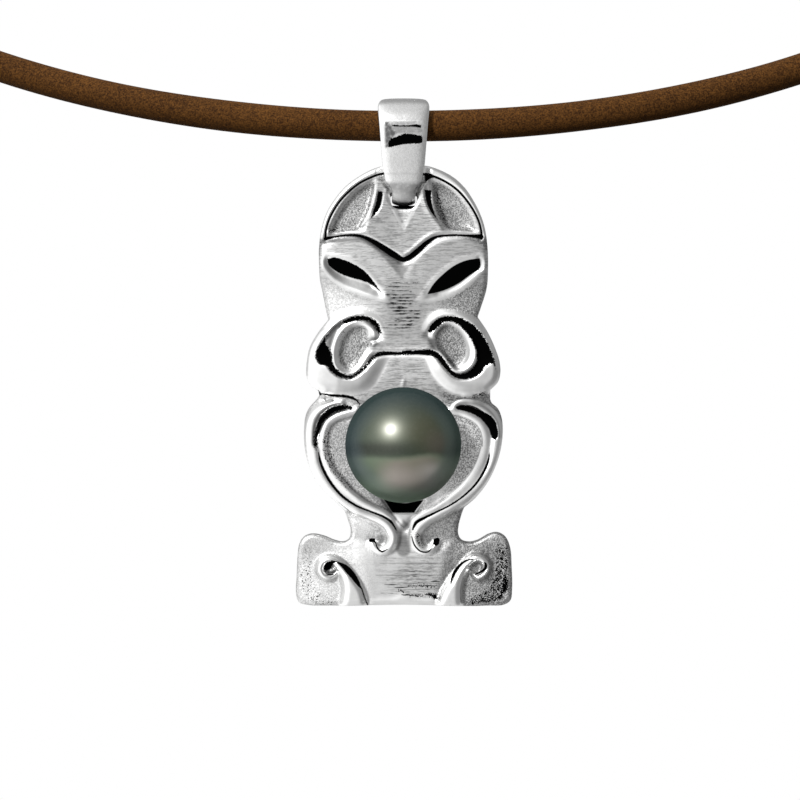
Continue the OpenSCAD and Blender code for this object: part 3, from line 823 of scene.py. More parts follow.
HEART = outline_of([(346.4, 421.4), (334.8, 423.4), (329.4, 428), (326.2, 439.6), (326, 452.9), (329.6, 467), (338.5, 482.5), (351.5, 495.5),
                    (368, 505), (382, 510.6), (393, 517.5), (403, 527.5)],
                   [(403, 527.5), (412.5, 518), (423.5, 511), (436, 504), (449.2, 494.6), (462, 484.4), (474.6, 469), (481.2, 452.9),
                    (481.8, 440), (478, 431), (470, 424.4), (459, 421.5)],
                   [(459, 421.5), (440, 414), (403, 410), (367, 414), (346.4, 421.4)])
UNDER_PEARL = outline_of([(383, 498), (403.5, 503), (424, 499.5)], [(424, 499.5), (414, 512.5)], [(414, 512.5), (392.6, 512.5)], [(392.6, 512.5), (383, 498)])
WEDGE = outline_of([(381, 497), (425.5, 498.5)], [(425.5, 498.5), (415, 514), (403.5, 526.5)], [(403.5, 526.5), (391.5, 513), (381, 497)])
CURL_EYE_L = outline_of([(368.6, 542), (369.4, 538.4), (375.2, 538.2)], [(375.2, 538.2), (375.4, 543.4), (373, 542), (368.6, 542)])
CURL_LINE_L = [(375.6, 542, 0.6), (377.6, 548, 0.9), (382, 551.4, 0.9), (387.6, 548.6, 0.5)]
CURL_EYE_R = outline_of([(433.6, 538.4), (439, 537.6), (439.4, 543), (436, 546), (432.8, 543.8)], [(432.8, 543.8), (433.6, 538.4)])
CURL_LINE_R = [(411.6, 536, 0.5), (414.6, 545, 0.8), (420.6, 551, 0.8), (428.4, 551.4, 0.8), (433, 545, 0.5)]

# ---- the feet ------------------------------------------------------------------------
FOOT_FLOOR_L = outline_of([(305.5, 552), (309, 545), (318, 545.6), (333, 550), (345, 554), (360, 560)],
                          [(360, 560), (372, 585), (374, 597)], [(374, 597), (340, 597.6), (314, 597.8), (306, 594.5), (304.4, 575), (305.5, 552)])
FOOT_FLOOR_R = outline_of([(506, 552), (502, 544.5), (492, 545), (478, 550), (464, 554), (448, 560)],
                          [(448, 560), (436, 585), (434, 597)], [(434, 597), (468, 598.6), (497, 599), (505.6, 596.5), (507, 575), (506, 552)])
KORU_L = [(354, 607, 14.4), (354, 597, 12.4), (351.5, 585, 9.4), (346.5, 574, 7.2), (339.5, 565.2, 5.6), (331, 560.0, 4.8), (322.8, 562.4, 4.6),
          (320.4, 569.4, 4.2), (324.4, 575.8, 4.0), (331.4, 576.4, 3.6), (336, 572.8, 2.4)]
KORU_R = [(449.5, 607, 13.6), (451, 597, 11.4), (455, 584, 8.2), (460.5, 572.5, 6), (467, 563.5, 4.9), (475, 557.6, 4.5), (483, 559.6, 4.2),
          (486.8, 566.8, 4), (483.6, 574.2, 3.8), (477.4, 577.0, 3.2), (473.6, 573.8, 2.2)]
KORU_EYE_L = outline_of([(323.6, 569.6), (324.6, 564.2), (329.6, 561.0), (337.6, 560.6)], [(337.6, 560.6), (333.6, 563.4), (331.4, 567.4), (328.4, 570.4), (323.6, 569.6)])
KORU_TICK_L = [(325.6, 573.4, 0.5), (329.4, 574.2, 0.9), (333.4, 573.9, 0.7)]
KORU_BLACK_L = outline_of([(330.6, 559.6), (339, 561.4), (346.6, 564.6), (353, 570.4), (357.8, 577.4), (360.8, 584.4), (362.4, 590)],
                          [(362.4, 590), (356.4, 584.2), (351.0, 577.6), (346.0, 572.2), (341.0, 566.0), (336, 562.2), (330.6, 559.6)])
KORU_EDGE_L = [(361.8, 588, 0.8), (364.6, 597, 0.7), (368.6, 606.5, 0.6)]
KORU_BLACK_R = [(450.6, 583.4, 0.5), (452.4, 577, 1.3), (455.6, 570.2, 1.7), (460.4, 564.4, 1.3), (466.4, 560.2, 0.9), (473, 558.6, 0.7)]
KORU_EYE_R = [(475.2, 573.9, 0.8), (479.0, 572.6, 1.0), (483.0, 570.4, 1.3), (485.6, 567.6, 1.5), (485.4, 563.4, 1.3), (484.0, 561.8, 0.5)]

# ---- the hole for the bail ----------------------------------------------------------------
HOLE_Z, HOLE_R, BAR_R, BRIDGE = -5.85, 1.10, 1.14, 0.85
HOLE_N = 3.3
HOLE_C = (X0, Y0 - HOLE_Z * 12)
BAR_V = Y0 + BAIL_H * 12


def d_hole():
    """The hole below the bar that the pendant hangs by, with room for the bail's lower corners."""
    r = HOLE_R * 12
    top = BAR_V + BAR_R * 12 - HOLE_C[1]
    a0 = math.asin(top / r)
    out = []
    for a in np.linspace(a0, math.pi - a0, 40):
        c, t = math.cos(a), math.sin(a)
        k = (abs(c) ** HOLE_N + abs(t) ** HOLE_N) ** (-1 / HOLE_N) if t > 0 else 1.0
        out.append((HOLE_C[0] + r * k * c, HOLE_C[1] + r * k * t))
    return np.array(out)


def round_top(s, width):
    """0 at a stroke's edge, 1 on its line, with a round top."""
    return np.sqrt(np.clip(1 - np.clip(1 - s / width, 0, 1) ** 2, 0, 1))


def flat_top(s, edge):
    """0 at an edge, 1 from a few units inside it."""
    return np.sqrt(1 - (1 - np.clip(s / edge, 0, 1)) ** 2)


def room_edge(v):
    """Half the width of the room in which the bail's leg stands, by height."""
    z = np.array([-9.0, -7.2, -6.95, -6.3, -5.7, -5.25, -4.95, -4.68, -3.25, -1.0])
    w = np.array([-2.0, -0.9, 0.6, 1.04, 1.10, 1.18, 1.44, 1.62, 1.90, 2.2]) * 12
    return np.interp((Y0 - v) / 12, z, w)


def face_heights():
    """The front's height over the whole grid, and its finishes."""
    out, nu, nv = area(OUTLINE, near=True)
    x = U - 403.5

    # the body's plain levels: the head and chest are a little convex from side to side
    h = np.full(U.shape, 0.75)
    head = 0.98 - (0.32 - 0.12 * step(x, 0, 20) + 0.32 * step(V, 262, 292)) * np.clip((np.abs(x) - 14) / 72, 0, 1) ** 1.7
    h = np.where(V < np.where(np.abs(x) < 30, 341, 330), head, h)
    body = 0.50 - (0.42 - 0.26 * step(V, 498, 530)) * np.clip(np.abs(x) / 58, 0, 1.2) ** 2
    h = toward(h, body, step(V, 382, 400))
    feet = 0.60 - 0.62 * np.clip((np.abs(x) - 34) / 74, 0, 1) ** 1.15 - 0.006 * np.clip(-x - 84, 0, 30)
    h = toward(h, feet, step(V, 540, 566))
    brush = np.zeros(U.shape)
    stipple = np.zeros(U.shape)
    black = np.full(U.shape, -6.0)
    speckle = np.zeros(U.shape)
    dash = np.zeros(U.shape)

    def paint(s, rag=0.0):
        nonlocal black, speckle
        m = s > black
        speckle = np.where(m, rag, speckle)
        black = np.maximum(black, s)

    # crown
    rim_line = curve(RIM_LINE)
    v_line = curve(V_LINE)
    crown = area(np.vstack([rim_line, v_line[::-1, :2]]), margin=40)
    rim = step(crown, 0.7, -0.7) * step(-V, -243, -236)
    h = toward(h, 1.01, rim)
    h = toward(h, 0.92, step(crown, -0.7, 1.0))
    pl, pr = area(PANEL_L), area(PANEL_R)
    # the floors slope: deepest along the wires, shallow at the outside
    for s, deep, reach in ((pl, 0.58, 3.5), (pr, 0.50, 6.5)):
        h = toward(h, deep, step(s, -3.5, reach))
        stipple = np.maximum(stipple, step(s, -1.5, 1.5))
    # thin rays from the hole down to a point, and a shallow bed between them
    bed = area([(385.5, 194), (403.5, 232), (421.5, 194)])
    h = h + (0.0035 * (U - 403.5) - 0.04) * step(bed, -2.0, 4.0)
    rays = np.full(U.shape, -FAR)
    for ray in ([(387.8, 196, 2.2), (390, 202, 2.1), (394.2, 211, 1.9), (399, 221, 1.5), (403.2, 229.0, 0.9)],
                [(419.2, 196, 2.2), (417, 202, 2.1), (412.8, 211, 1.9), (408, 221, 1.5), (403.8, 229.0, 0.9)]):
        s, width = stroke(curve(ray))
        h = np.maximum(h, np.where(s > 0, 0.90 + 0.03 * round_top(s, width), -9))
        rays = np.maximum(rays, s)
    # small beads on either side of the hole
    for bu, bv, br, top in ((388.5, 191.0, 3.3, 1.06), (418.7, 191.4, 3.2, 1.06)):
        s = br - np.hypot(U - bu, V - bv)
        h = np.where(s > 0, np.maximum(h, top - 0.30 + 0.30 * round_top(s, br)), h)
    for w in (WIRE_L, WIRE_R):
        s, width = stroke(curve(w))
        h = np.maximum(h, np.where(s > 0, 0.62 + 0.30 * round_top(s, width), -9))
    s, width = stroke(curve([(423.0, 184, 2.2), (423.6, 198, 2.4), (427.4, 209.5, 2.2), (434.5, 221, 1.7), (441, 228.5, 1.0)]))
    h = np.maximum(h, np.where(s > 0, 0.90 + 0.13 * round_top(s, width), -9))
    plate = np.clip(step(crown, 0, 2) - step(pl, -3, 1) - step(pr, -3, 1), 0, 1)
    brush = np.maximum(brush, plate) * (1 - 0.8 * step(rays, -1.0, 1.0))
    for k, poly in enumerate((SLOT_L, SLOT_R)):
        s = area(poly)
        h = h - 0.36 * step(s, 0.4, 2.8)
        paint(s, 0.12)
    s, width = stroke(np.column_stack([rim_line, np.full(len(rim_line), 1.2)]))
    h = h - 0.12 * step(s, -0.1, 1.2)
    paint(s, 0.0)
    # the stepped V of the headband
    s, width = stroke(v_line)
    edge_of_plate = step(crown, 6.5, 2.5) * step(crown, 0.5, 2.0) * step(V, 228, 236)
    h = h + 0.09 * edge_of_plate
    h = h - 0.34 * step(s, -0.4, 1.8)
    paint(s, 0.05)
    brush = brush * (1 - 0.7 * edge_of_plate)

    # brows: the space over them is lower
    brow_line = np.vstack([curve(BROW_TOP_L), curve(BROW_TOP_R)[1:]])
    gap = area(np.vstack([brow_line, [(488, 236)], v_line[::-1, :2], [(319, 238)]]))
    h = h - (0.12 - 0.08 * step(-np.abs(x), -34, -14)) * step(gap, -4.2, 2.6)
    forehead = step(V, 236, 242) * (1 - step(crown, -1, 0.5))
    brow_under = np.where((V < 300) & (x < 0), -gap - 2, -9) * forehead
    stipple = np.maximum(stipple, 0.8 * step(gap, -1, 2) * step(np.abs(x), 12, 40))
    brush = np.maximum(brush, 0.8 * forehead * step(-V, -345, -338))

    # cheeks
    cheek = step(np.abs(x), 22, 56) * step(V, 270, 292)
    stipple = np.maximum(stipple, cheek * (0.5 + 0.5 * step(x, -10, 10)))
    brush = brush * (1 - cheek * 0.9)

    # eyes
    film_and_shade = np.zeros(U.shape)
    for top, crease, low in ((EYE_TOP_L, EYE_CREASE_L, EYE_LOW_L), (EYE_TOP_R, EYE_CREASE_R, EYE_LOW_R)):
        top, crease, low = curve(top, 0.7), curve(crease, 0.7), curve(low, 0.7)
        lens = area(np.vstack([top, crease[1:-1]]))
        facet = area(np.vstack([crease, low]))
        whole = area(np.vstack([top, low[::-1]]))
        dt, dc, dl = along(top), along(crease), along(low)
        rim_l = step(whole, -6, -1.5)
        h = h + 0.045 * rim_l
        bottom = h - (0.36 if top[0][0] < 403 else 0.15) * np.clip((dt + dl) / 13.0, 0, 1)
        up = (h * dc + bottom * dt) / (dc + dt + 1e-6)
        dn = (h * dc + bottom * dl) / (dc + dl + 1e-6)
        h = np.where(lens > 0, up, np.where(facet > 0, dn, h))
        stipple = stipple * (1 - step(whole, -4.5, -1))
        brush = brush * (1 - step(whole, -4.5, -1))
        paint(lens, 0.10 if top[0][0] < 403 else 0.0)
        film_and_shade = np.maximum(film_and_shade, (0.34 if top[0][0] < 403 else 0.44) * step(whole, -1, 2))

    # mouth
    lip_l, lip_r = area(LIP_L, margin=20), area(LIP_R, margin=20)
    lips = np.maximum(lip_l, lip_r)
    t = np.clip((soften(lips, 6) + 2.0) / 13.0, 0, 1)
    lip_top = 1.16 - 0.15 * step(-np.abs(x), -46, -14) - 0.010 * np.clip(-x - 66, 0, 40) * step(V, 335, 360)
    h = toward(h, np.maximum(lip_top, h), np.where(lips > -3, (0.5 * np.sqrt(1 - (1 - t) ** 2) + 0.5 * t * (2 - t)) * step(lips, -3, 0), 0))
    stipple = stipple * (1 - step(lips, -2.5, 0.5))
    brush = brush * (1 - step(lips, -2.5, 0.5))
    for out_line, low_line, in_line, ring, kidney, rag in (
            (MOUTH_BLACK_OUT_L, None, MOUTH_BLACK_IN_L, RING_L, KIDNEY_L, 0.34),
            (MOUTH_BLACK_OUT_R, MOUTH_BLACK_LOW_R, MOUTH_BLACK_IN_R, RING_R, KIDNEY_R, 0.24)):
        o = curve(out_line) if low_line is None else np.vstack([curve(out_line), curve(low_line)[1:]])
        i = curve(in_line)
        channel = area(np.vstack([o, i]))
        inner = area(i)
        do, di = along(o), along(i)
        t = do / (do + di + 1e-6)
        h = np.where(channel > 0, h - (h - 0.45) * t ** 0.8, h)
        h = toward(h, 0.64, step(inner, -0.6, 1.0))
        k = area(kidney)
        if low_line is None:
            h = toward(h, 0.82, step(inner, -1.6, 0.2) * step(-k, 4.0, 8.0) * step(-x, 30, 40))
        h = toward(h, 0.72, step(k, -7, -3) * step(inner, 0, 1))
        h = toward(h, 0.48, step(k, -1.5, 5.5))
        stipple = np.maximum(stipple, step(k, -1.5, 1.5))
        s, width = stroke(curve(ring))
        h = np.maximum(h, np.where(s > 0, 0.56 + (0.22 + 0.05 * width) * round_top(s, width), -9))
        paint(np.where(di < do, channel + (1.2 if low_line is None else 2.4), channel), rag)
        film_and_shade = np.maximum(film_and_shade, 0.42 * step(k, -4.5, -1) * step(x, 45, 56) * (1 - step(k, 1, 3)))
        film_and_shade = np.maximum(film_and_shade, (0.74 if low_line is None else 0.55) * step(inner, -1, 1) * (1 - step(s, -1.0, 1.0)) * (1 - step(k, -7, -4)) * (1 - step(-np.abs(x), -34, -26)))
    patch = area([(339.5, 322.4), (333, 326.4), (325.3, 339.5), (326.5, 345), (330.8, 349.4), (332.2, 345.8), (334.8, 339), (338.5, 332), (345, 323.4)])
    black = np.minimum(black, 0.4 - patch)
    film_and_shade = np.maximum(film_and_shade, 0.66 * step(patch, -0.6, 0.8))
    k = area(KIDNEY_L)
    film_and_shade = np.maximum(film_and_shade, 0.50 * step(k, -0.6, 1.2) * (1 - step(k, 5.5, 9)) * step(U, 350, 358) * step(V, 338, 346))
    k = area(KIDNEY_R)
    film_and_shade = np.maximum(film_and_shade, 0.50 * step(k, -0.6, 1.2) * (1 - step(k, 5.5, 9)) * step(U, 448, 456) * step(V, 346, 354))
    # the flat of the upper lip and its lower edge
    flat = area(outline_of([(384, 334), (423, 334)], [(423, 334), (430, 341), (436, 350)], [(436, 350), (370, 350)], [(370, 350), (371.5, 343.5), (379, 339.5), (384, 334)]))
    h = toward(h, 0.88, step(flat, -2.5, 2.0))
    brush = np.maximum(brush, step(flat, -1, 1) * 0.8)
    s, width = stroke([(378, 350, 1.3), (390, 350.2, 1.5), (403.6, 350.3, 1.5), (417, 350.2, 1.5), (429, 349.6, 1.3)])
    h = np.maximum(h, np.where(s > 0, 0.88 + 0.10 * np.clip(s / width, 0, 1) ** 0.5, -9))
    s, width = stroke([(377, 356, 1.0), (383, 354.4, 1.3), (395, 353.9, 1.1), (404, 353.9, 0.9), (418, 353.4, 1.2), (429, 354, 1.5)])
    h = np.where(s > -1.0, np.minimum(h, 0.98 - 0.35 * step(s, -1.0, 1.0)), h)
    paint(s)
    chin = area(CHIN)
    h = toward(h, 0.88 - 0.28 * step(V, 376, 404), step(chin, -9.0, 4.0))
    brush = np.maximum(brush, step(chin, -1, 2))
    s, width = stroke([(404.4, 378.6, 0.6), (403.8, 382, 1.0), (402.6, 385, 1.4)])
    h = np.maximum(h, np.where(s > 0, 0.80 + 0.16 * round_top(s, width), -9))

    # chest: a stippled recess in the shape of a heart
    heart = area(HEART)
    h = toward(h, 0.40 + 0.0016 * np.clip(x - 20, 0, 60), step(heart, -7.0, -4.0))
    stipple = np.maximum(stipple, step(heart, -1.5, 1.0) * (1 - 0.20 * step(-x, 10, 30) - 0.84 * step(x, 10, 40)))
    brush = brush * (1 - step(heart, -2, 0))
    w = area(WEDGE)
    h = toward(h, np.where(V > 512.6, 0.56, -0.05), step(w, -1.0, 1.5))
    stipple = stipple * (1 - step(w, -1, 1))
    for band, ridge, collar, blk, line, rag in ((BAND_L, RIDGE_L, COLLAR_L, ARM_BLACK_L, ARM_LINE_L, 0.45),
                                                (BAND_R, RIDGE_R, COLLAR_R, ARM_BLACK_R, ARM_LINE_R, 0.10)):
        lean = 0.0088 * np.clip(np.abs(x) - 46, 0, 60)
        s, width = stroke(curve(band))
        tip = 0.006 * (np.clip(U - np.where(U < 403, 381, 427), -15, 15)) * step(V, 506, 522)
        h = np.maximum(h, np.where(s > 0, 0.40 + (0.34 + 0.030 * width) * flat_top(s, 3.4) - lean + tip, -9))
        skin = step(s, -1.0, 0.5)
        s2, width2 = stroke(curve(ridge))
        h = np.maximum(h, np.where(s2 > 0, 0.44 + (0.28 + 0.025 * width2) * flat_top(s2, 1.8) - lean, -9))
        s4, width4 = stroke(curve(collar))
        h = np.maximum(h, np.where(s4 > 0, 0.40 + 0.40 * flat_top(s4, 1.6) - lean, -9))
        s2 = np.maximum(s2, s4)
        skin = np.maximum(skin, step(s2, -1.0, 0.5))
        both = np.minimum(s + 2.2, s2 + 2.2)
        h = np.maximum(h, np.where(both > 0, 0.40 + 0.36 * np.clip(both / 2.2, 0, 1) ** 0.7 - lean, -9))
        b = area(blk)
        h = h - 0.26 * step(b, 0.2, 3.0)
        s3, width3 = stroke(curve(line))
        h = h - 0.16 * step(s3, -0.2, 1.0)
        brush, stipple = brush * (1 - skin), stipple * (1 - skin)
        paint(b, rag)
        paint(s3, 0.05)
        if line is ARM_LINE_L:
            film_and_shade = np.maximum(film_and_shade, 0.60 * step(area(ARM_FILM_L), -0.5, 1.5))
            # painted shade in the left side of the chest's recess, along the inner side of the ridge and collar
            film_and_shade = np.maximum(film_and_shade, 0.50 * step(s2, -6.0, -1.5) * (1 - step(s2, -0.6, 0.4)) * step(heart, -5, -2) * step(-x, 20, 40))
            skins = skin
        else:
            film_and_shade = np.maximum(film_and_shade, 0.48 * step(area(ARM_FILM_R), -0.8, 1.5))
            skins = np.maximum(skins, skin)
    paint(area(UNDER_PEARL), 0.03)
    paint(area([(424.4, 172.8), (431, 174.0), (437, 177.4), (431, 178.6), (427.6, 180.6), (425.2, 183.6)]), 0.06)

    # waist: stippled, between the bands and the feet
    waist = step(V, 503, 512) * (1 - step(heart, -6, -3)) * step(-V, -600, -585)
    for band in (BAND_L, BAND_R):
        s, width = stroke(curve(band))
        waist = waist * (1 - step(s, -1.0, 0.5))
    stipple = np.maximum(stipple, (0.85 - 0.55 * step(-x, 16, 44)) * waist * step(np.abs(x), 6, 30))
    brush = np.maximum(brush, 0.5 * waist * step(-np.abs(x), -34, -10))
    for e, l in ((CURL_EYE_L, CURL_LINE_L), (CURL_EYE_R, CURL_LINE_R)):
        e = area(e)
        h = h - 0.16 * step(e, -2.0, 1.0)
        paint(e, 0.05)
        paint(stroke(curve(l))[0], 0.0)

    # feet
    for floor in (FOOT_FLOOR_L, FOOT_FLOOR_R):
        f = area(floor)
        h = h - (0.0 if floor is FOOT_FLOOR_L else 0.12) * step(f, -5.0, 10.0)
        stipple = np.maximum(stipple, (0.22 if floor is FOOT_FLOOR_L else 0.9) * step(f, -4, 2))
    shin = area(outline_of([(358, 545), (380, 553), (403, 555), (428, 553), (450, 545)], [(450, 545), (443, 570), (436, 600)],
                           [(436, 600), (372, 600)], [(372, 600), (366, 575), (358, 545)]), margin=20)
    h = toward(h, 0.60 + 0.003 * np.clip(x + 30, -30, 0), step(shin, -7, 7))
    stipple = stipple * (1 - 0.8 * step(shin, -4, 8))
    brush = np.maximum(brush, step(shin, -6, 14) * (0.25 + 0.75 * step(U, 378, 408)))
    foot_edge = area(outline_of([(380, 599), (392, 597.6), (404, 594), (416, 598.4), (436, 598.6)], [(436, 598.6), (436, 612), (370, 612), (370, 601)],
                                [(370, 601), (380, 599)]))
    h = h + 0.05 * step(foot_edge, -3, 4)
    brush = brush * (1 - step(foot_edge, -2, 2))
    stipple = stipple * (1 - 0.7 * step(foot_edge, -2, 2))
    for koru in (KORU_L, KORU_R):
        s, width = stroke(curve(koru))
        q = np.clip(s / np.minimum(width, 7.5), 0, 1)
        h = np.maximum(h, np.where(s > 0, 0.46 + np.minimum(0.26 + 0.07 * width, 0.80) * np.sqrt(1 - (1 - q) ** 2), -9))
        k = step(s, -1.0, 0.5)
        brush, stipple = brush * (1 - k), stipple * (1 - k)
    e = area(KORU_EYE_L)
    h = h - 0.25 * step(e, -1, 2)
    paint(e, 0.12)
    e = area(KORU_BLACK_L)
    h = h - 0.15 * step(e, -1, 2)
    paint(e, 0.06)
    for line in (KORU_BLACK_R, KORU_EYE_R, KORU_TICK_L, KORU_EDGE_L):
        s, width = stroke(curve(line))
        h = h - 0.20 * step(s, -1, 1)
        paint(s, 0.03)

    # patches of black in the grounds, ragged or only dotted: tarnish, and along the right foot's border painted shadow
    for points, rag, *cap in (([(437, 194, 0.2), (440, 206, 0.8), (445, 219, 0.2)], 0.9),
                        ([(330, 231, 0.6), (337, 229.5, 0.2)], 0.9),
                        ([(308, 552, 0.5), (306, 572, 1.5), (307, 586, 2.5), (314, 596, 2.5), (330, 602, 1.6)], 1.3, -2.45),
                        # painted shadow: dark mottles along the inside of the right foot's raised border
                        ([(502, 548, 3), (502.5, 566, 4.5), (500.5, 580, 6), (497, 590, 6), (486, 598, 3.2), (472, 601, 1.2)], 1.3, 0.1),
                        ([(506, 560, 0.6), (506, 575, 1.2), (505, 588, 3.0), (500, 597, 2.2), (488, 600.6, 1.2), (474, 601.5, 0.8)], 0.55),
                        ([(398, 588, 0.6), (403, 592, 0.2)], 0.6),
                        ([(410, 595.6, 0.8), (418, 595.4, 0.9), (424, 594.6, 0.2), (429, 594.4, 1.5), (435, 596.4, 2.4)], 0.45),
                        ([(410, 586, -1.0), (420, 584.6, -0.6), (434, 587, -0.4)], 1.3),
                        ([(321, 393.6, 0.5), (332, 395.4, 1.3), (345, 396.2, 1.4), (352, 397.6, 1.5), (357, 400.5, 0.9), (360, 404.5, 0.4)], 0.12),
                        ([(455, 398.6, 0.2), (466, 398.0, 0.4), (478, 396.4, 0.3)], 0.25),
                        ([(318, 391, 1.2), (320, 394, 1.6)], 0.1),
                        ([(474, 395.5, 0.4), (484, 393.6, 1.3)], 0.5),
                        ([(449, 360, 0.2), (452, 364, 0.4)], 1.3),
                        ([(327.5, 432, 0.5), (326.8, 442, 1.6), (327.8, 455, 1.8), (331.8, 466, 1.4), (340, 478, 1.0), (350, 488, 0.4)], 1.15, -1.0),
                        ([(416.8, 534, 0.4), (417.5, 541, 0.6), (421, 546, 0.3)], 1.0, -0.9),
                        ([(344, 331, -1.6), (340.5, 345, -1.6), (341, 362, -0.8)], 1.0)):
        s, width = stroke(points)
        paint(np.minimum(s, cap[0]) if cap else s, rag)
    dash = np.maximum(dash, 0.6 * (0.25 + 0.75 * step(-np.abs(x), -14, -4)) * step(-np.abs(x), -22, -12) * step(V, 284, 300) * step(-V, -336, -326))
    dash = np.maximum(dash, 0.6 * step(-np.abs(U - 412), -34, -20) * step(V, 566, 588) * step(-V, -599, -593))

    # rows of short dark dashes down the nose, in the brushed lines
    rng = np.random.default_rng(5)
    for row in (283, 287, 291, 295, 298, 301, 304, 308, 311, 314, 318, 321, 325, 328):
        thick = 0.34 + 0.50 * (1 - abs(row - 308) / 40)
        for _ in range(6 if row in (304, 311, 321, 328) else 4):
            mid = 403 + 7.5 * rng.standard_normal()
            half = rng.uniform(2.0, 6.5)
            wide = thick * rng.uniform(0.5, 1.25)
            paint(stroke([(mid - half, row, 0.1), (mid, row, wide), (mid + half, row, 0.1)])[0], 0.05)
    for row, x0, x1 in ((304, 384, 422), (311, 382, 425), (318, 387, 420), (328, 383, 424)):
        paint(stroke([(x0, row, 0.02), (403, row, 0.34), (x1, row, 0.02)])[0] - 0.08, 0.05)

    # a cast surface has no sharp steps, and the curls' ends and the eyes' corners are smoother still
    h = soften(h, 3)
    soft = soften(h, 9)
    for cu, cv, cr in ((386, 341, 10), (421, 340, 10), (380, 292, 10), (429, 293, 9), (484, 395, 9), (468, 397, 8), (321, 400, 6), (482, 264, 8),
                       (403.5, 262, 7), (403.5, 275, 8), (385, 176, 7), (424, 176, 7)):
        h = toward(h, soft, step(-np.hypot(U - cu, V - cv), -cr, -0.4 * cr))
    arms = step(V, 398, 408) * step(-V, -556, -548) * np.maximum(step(np.abs(x), 34, 46), step(V, 500, 510))
    h = toward(h, soften(h, 3), 0.8 * arms)

    # thin grey darkening in the crown's panels, the curls and down the nose; in the left panel it is painted shade,
    # deeper towards the crown's edge
    grey = (0.06 + 0.36 * step(-crown, -15, -3)) * step(pl, -1, 3)
    grey = grey + (0.04 + 0.40 * step(stroke(curve(WIRE_R), 30)[0], -24, -5)) * step(pr, -1, 3)
    grey = np.maximum(grey, film_and_shade)
    grey = np.maximum(grey, (0.08 + 0.12 * step(-x, 2, 14)) * step(plate, 0.2, 0.8) * (1 - step(rays, -1, 1)) * (1 - step(bed, -1, 2)))
    grey = np.maximum(grey, 0.16 * step(flat, -3, 2))
    between = stroke([(403.5, 521, 1.0), (405, 527, 4.8), (405.6, 533, 5.6), (404.5, 538, 5.4), (403.5, 549, 7)])[0]
    grey = np.maximum(grey, 0.60 * step(between, -2.0, 1.5))
    grey = np.maximum(grey, 0.30 * np.maximum(step(area(KIDNEY_R), -2, 2), 0.4 * step(area(KIDNEY_L), -2, 2)))
    grey = np.maximum(grey, 0.27 * step(-np.abs(x), -30, -12) * step(V, 268, 290) * step(-V, -338, -326))
    grey = np.maximum(grey, (0.52 - 0.32 * step(x, -10, 10)) * step(gap, np.where(x < 0, -5.5, -1), np.where(x < 0, -1.5, 2)) * step(-np.abs(x), -84, -74)
                      * step(-V, -300, -290) * (1 - step(crown, -1, 0.5)))
    # painted shade: the left half of the chest's recess a little darker
    grey = np.maximum(grey, 0.14 * step(heart, 0, 3) * step(-x, 0, 20))
    grey = np.maximum(grey, 0.12 * step(forehead, 0.2, 0.8) * step(-V, -300, -270))

    # painted shadow of the pearl on the recess round it, darkest at its edge and to its right; and darker spots in the
    # corners of the upper lip
    dp = np.hypot(U - 403.2, V - 444.6) - 57.6
    side = step(x, 6, 40) * step(V, 430, 462)
    grey = np.maximum(grey, (0.04 + 0.06 * side) * step(-dp, -7, 0) * step(heart, -1, 2))
    grey = np.maximum(grey, 0.34 * step(stroke([(424, 548, 1), (417.5, 540, 2), (419, 530, 2), (427, 522, 1)])[0], -6, 0) * step(stipple, 0.3, 0.7))
    for cu, cv, cr in ((382, 541, 9), (423, 541, 10)):
        grey = np.maximum(grey, 0.46 * step(-np.hypot(U - cu, V - cv), -cr, -0.5 * cr) * (1 - skins))
    for row, x0, x1, deep in ((553, 392, 430, 0.2), (558, 384, 440, 0.3), (563, 380, 446, 0.45), (567.5, 390, 436, 0.25), (571, 378, 428, 0.3),
                              (575, 376, 447, 0.5), (579, 392, 444, 0.3), (583, 398, 447, 0.45), (587, 388, 420, 0.25)):
        line = stroke([(x0, row, 0.1), ((x0 + x1) / 2, row - 0.4, 0.75), (x1, row, 0.1)])[0]
        grey = np.maximum(grey, deep * step(line, -0.5, 0.6) * (1 - skins))
    for cu, cv, deep in ((373.5, 342, 0.78), (379, 345, 0.45), (432, 343, 0.45)):
        grey = np.maximum(grey, deep * step(-np.hypot(U - cu, V - cv), -8, -3))

    grey = np.maximum(grey, 0.20 * step(lips, 0, 5) * step(V, 362, 374) * step(x, -92, -76))
    grey = np.maximum(grey, 0.10 * step(brow_under, 0, 3))

    # the outline is rolled over, more on the polished ridges
    r = 4.4 + 3.6 * step(lips, 0, 4)
    h = h - roll(out, r)

    # the pearl's cup and post
    rp = np.hypot(U - 403.2, V - (Y0 + 26.55 * 12)) * UNIT
    cup = np.where(rp < 4.85, 3.6 - np.sqrt(np.maximum(4.85 ** 2 - rp ** 2, 0)), 9)
    h = np.minimum(h, cup)
    h = np.where(rp < 0.46, 3.0 - 1.2 * np.clip(rp - 0.36, 0, 1), h)

    # room for the bail's leg in front of the bridge, and the bar's round underside
    inside = room_edge(V) - np.abs(x)
    level = BRIDGE - 0.03
    h = np.where(h > level, toward(h, level, step(inside, np.where(V < 176, -8.0, -4.5), 0.2)), h)
    hole_in = np.abs(U - X0) < 1.12 * 12
    dv = np.clip((V - BAR_V) / 12, 0, BAR_R)
    under = np.sqrt(np.maximum(BAR_R ** 2 - dv ** 2, 0.0))
    bar = (V > BAR_V) & (V < BAR_V + BAR_R * 12 + 2) & hole_in
    h = np.where(bar, np.minimum(h, np.maximum(under, 0.015)), h)
    finish = dict(grey=grey, brush=np.clip(brush, 0, 1), stipple=np.clip(stipple, 0, 1), black=np.clip(black, -6, 6),
                  speckle=speckle, dash=np.clip(dash, 0, 1))
    return h, out, nu, nv, finish


BACK = 1.75


